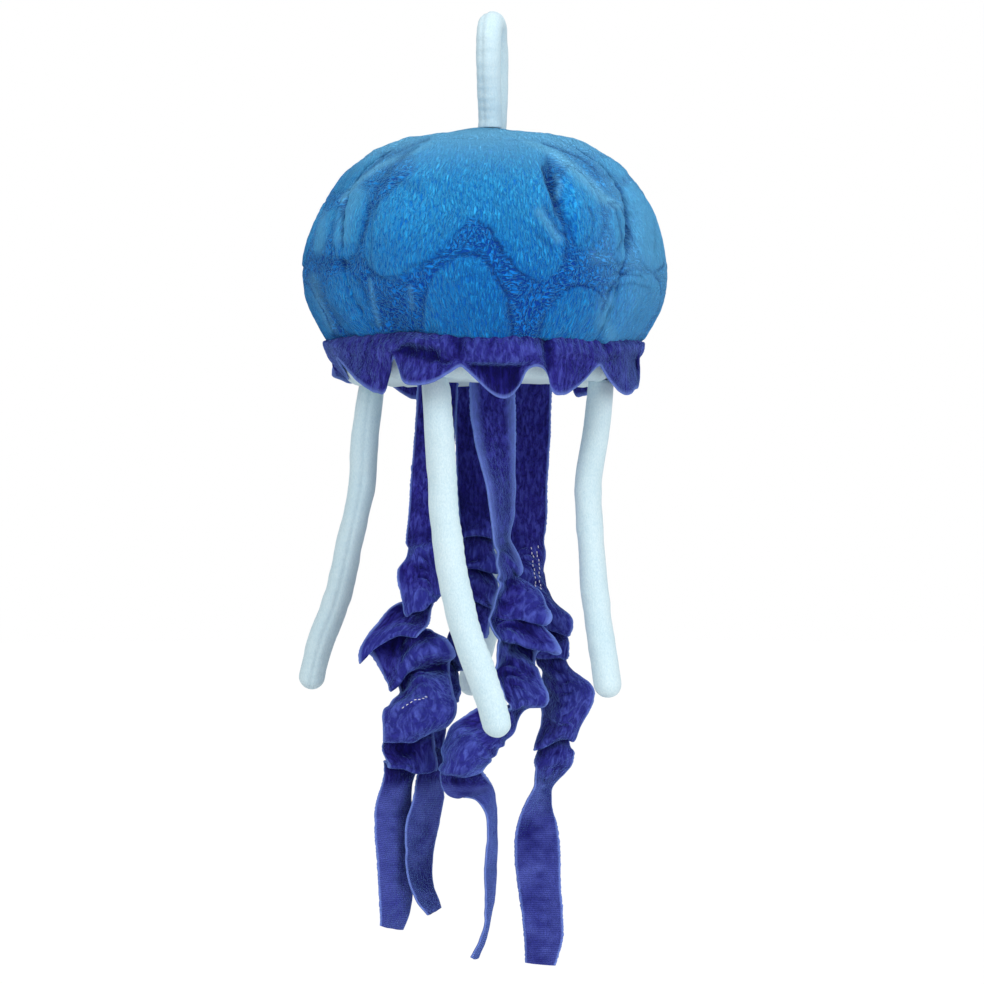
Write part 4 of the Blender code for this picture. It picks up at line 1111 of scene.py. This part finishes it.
def make_stitches(ribbon, rings, material):
    """Short threads that lie on the ribbon, along the lines where the photo shows them."""
    points, normals = rings.reshape(-1, 3), ring_normals(rings).reshape(-1, 3)
    x, z = on_photo_plane(points)
    hidden = 0.05 * (points[:, 1] - points[:, 1].min()) + (normals[:, 1] > -0.2)
    turn = np.linspace(0, 2 * math.pi, 6, endpoint=False)[:, None]
    ends = np.array([-1.0, -0.75, 0.0, 0.75, 1.0])[:, None, None] * STITCH_LENGTH / 2
    full = np.array([0.25, 0.85, 1.0, 0.85, 0.25])[:, None, None] * STITCH_THICKNESS / 2
    stitches = []
    for line in STITCH_LINES[ribbon]:
        line = photo_line(line)
        length = np.concatenate([[0.0], np.cumsum(np.linalg.norm(np.diff(line, axis=0), axis=1))])
        for at in np.arange(STITCH_LENGTH, length[-1], STITCH_PITCH):
            (x0, x1), (z0, z1) = (np.interp((at, at + MM), length, line[:, axis]) for axis in (0, 1))
            nearest = np.argmin(np.hypot(x - x0, z - z0) + hidden)
            normal = normals[nearest]
            heading = np.array([x1 - x0, 0.0, z1 - z0])
            heading = unit(heading - normal * (heading @ normal) + 1e-9)
            centre = points[nearest] + normal * (STITCH_THICKNESS / 2 + 0.1 * MM)
            round_ = np.cross(normal, heading) * np.cos(turn) + normal * np.sin(turn)
            stitches.append(centre + heading * ends + round_ * full)
    faces = []
    for first in range(0, 30 * len(stitches), 30):
        for ring in range(first, first + 24, 6):
            for side in range(6):
                a, b = ring + side, ring + (side + 1) % 6
                faces.append((a, b, b + 6, a + 6))
        faces.append(tuple(range(first + 5, first - 1, -1)))
        faces.append(tuple(range(first + 24, first + 30)))
    vertices = np.concatenate(stitches).reshape(-1, 3).tolist()
    piece = add_piece(ribbon + "_stitches", vertices, faces, material, {})
    dress(piece, ribbon)


def make_ribbons(material, stitch_material):
    for number, (name, sections) in enumerate(RIBBONS):
        seed = 70 + 11 * number
        grid, gather, run = ribbon_surface(sections, seed)
        rows, across = grid.shape[:2]
        aside = np.linspace(-1, 1, across)
        near = hump(aside * RIBBON_WIDTH / 2, 3.2 * MM)[None, :]
        waves = ripples(run, 7 * MM, 1.6, 9 * MM, seed)[:, None] * near
        lift = waves * (0.25 + 0.35 * gather[:, None]) * MM + lumps(grid, seed + 3, *RIBBON_LUMPS)
        grid = grid + grid_normals(grid) * lift[..., None]
        normal = grid_normals(grid)
        # For painted shade in folds and painted shadow under the lips, and painted highlights on the ridges.
        small, broad = hollowness(grid, normal, 1.4 * MM, 13, 3), hollowness(grid, normal, 5.0 * MM, 45, 5)
        hollow = np.clip(0.75 * small + 0.6 * broad, -1.0, 1.0)
        thick = RIBBON_CLOTH / 2 * (1 - 0.35 * np.abs(aside) ** 6)[None, :, None]
        front, back = grid + normal * thick, grid - normal * thick
        outer = (0.45 * MM + 0.3 * MM * noise(grid[:, 0], 0.9 * MM, seed + 8))[:, None]
        left = grid[:, 0] + unit(grid[:, 0] - grid[:, 1]) * outer
        right = grid[:, -1] + unit(grid[:, -1] - grid[:, -2]) * outer
        rings = np.concatenate([left[:, None], front, right[:, None], back[:, ::-1]], axis=1)
        round_ = np.concatenate([[-1.04], aside, [1.04], aside[::-1]])
        on_back = np.concatenate([np.zeros(across + 2), np.ones(across)])[None, :]
        cloth = (round_ * RIBBON_WIDTH / 2, run[:, None], 0.1 * on_back)
        # Painted sheen at the edges, and a wider painted highlight over the centre ribbon's straight part.
        edge = np.broadcast_to(smoothstep((np.abs(round_) - 0.90) / 0.10), rings.shape[:2])
        if name == "ribbon_centre":
            straight = smoothstep((rings[:, :1, 2] - GATHER_TOP_Z + 25 * MM) / (25 * MM))
            edge = np.maximum(edge, 0.6 * straight * smoothstep((np.abs(round_) - 0.45) / 0.5))
        tail = smoothstep((TAIL_TOP_Z - rings[..., 2]) / (4 * MM))
        none = np.zeros((rows, 1))
        values = {
            "cloth": np.stack([np.broadcast_to(part, rings.shape[:2]) for part in cloth], axis=-1),
            "edge": edge,
            "knit": tail * (1 - on_back) + (1 - tail) * on_back,
            "hollow": np.concatenate([none, hollow, none, -hollow[:, ::-1]], axis=1),
        }
        piece = piece_from_rings(name + "_velour", rings, material, values)
        dress(piece, name)
        if name in STITCH_LINES:
            make_stitches(name, rings, stitch_material)


def make_floor():
    """A white floor far below, which keeps a soft shadow."""
    material = bpy.data.materials.new("white floor")
    material.use_nodes = True
    tree = material.node_tree
    matt, glow = tree.nodes["Principled BSDF"], tree.nodes.new("ShaderNodeEmission")
    matt.inputs["Base Color"].default_value = (0.85, 0.85, 0.85, 1.0)
    matt.inputs["Roughness"].default_value = 0.9
    glow.inputs["Color"].default_value = (1.0, 1.0, 1.0, 1.0)
    glow.inputs["Strength"].default_value = 1.06
    share = tree.nodes.new("ShaderNodeMath")
    share.operation = "MULTIPLY"
    share.inputs[1].default_value = 0.93
    mixed = tree.nodes.new("ShaderNodeMixShader")
    tree.links.new(tree.nodes.new("ShaderNodeLightPath").outputs["Is Camera Ray"], share.inputs[0])
    for number, node in enumerate((share, matt, glow)):
        tree.links.new(node.outputs[0], mixed.inputs[number])
    tree.links.new(mixed.outputs[0], tree.nodes["Material Output"].inputs["Surface"])
    turns = [2 * math.pi * corner / FLOOR_CORNERS for corner in range(FLOOR_CORNERS)]
    ring = [(FLOOR_RADIUS * math.cos(turn), FLOOR_RADIUS * math.sin(turn), 0) for turn in turns]
    mesh = bpy.data.meshes.new("floor")
    mesh.from_pydata(ring, [], [tuple(range(FLOOR_CORNERS))])
    mesh.materials.append(material)
    floor = bpy.data.objects.new("floor", mesh)
    floor.location.z = FLOOR_Z
    bpy.context.scene.collection.objects.link(floor)


def make_world():
    """White where the camera sees it, dimmer as a light."""
    world = bpy.data.worlds.new("studio")
    world.use_nodes = True
    bpy.context.scene.world = world
    tree = world.node_tree
    backdrop, path = tree.nodes["Background"], tree.nodes.new("ShaderNodeLightPath")
    backdrop.inputs["Color"].default_value = (1.0, 1.0, 1.0, 1.0)
    brightness = tree.nodes.new("ShaderNodeMapRange")
    tree.links.new(path.outputs["Is Camera Ray"], brightness.inputs["Value"])
    brightness.inputs["To Min"].default_value = 0.46
    brightness.inputs["To Max"].default_value = 1.0
    tree.links.new(brightness.outputs["Result"], backdrop.inputs["Strength"])


def make_lamps_and_camera():
    scene = bpy.context.scene
    for name, place, size, power in LAMPS:
        light = bpy.data.lights.new(name, "AREA")
        light.size = size
        light.energy = power
        lamp = bpy.data.objects.new(name, light)
        lamp.location = place
        lamp.rotation_euler = (Vector(LAMP_TARGET) - lamp.location).to_track_quat("-Z", "Y").to_euler()
        scene.collection.objects.link(lamp)
    lens = bpy.data.cameras.new("camera")
    lens.lens = 102.4
    lens.sensor_width = 36.0
    camera = bpy.data.objects.new("camera", lens)
    camera.location = (0.0, -EYE_DISTANCE * MM, EYE_HEIGHT * MM)
    camera.rotation_euler = (math.pi / 2, 0.0, 0.0)
    scene.collection.objects.link(camera)
    scene.camera = camera
    scene.view_settings.view_transform = "Standard"


def main():
    make_floor()
    make_world()
    make_lamps_and_camera()
    pale = pale_cloth()
    indigo = indigo_cloth()
    make_bell(bell_cloth())
    make_base(pale)
    make_collar(indigo)
    make_loop(pale)
    make_tentacles(pale)
    make_ribbons(indigo, thread())


main()
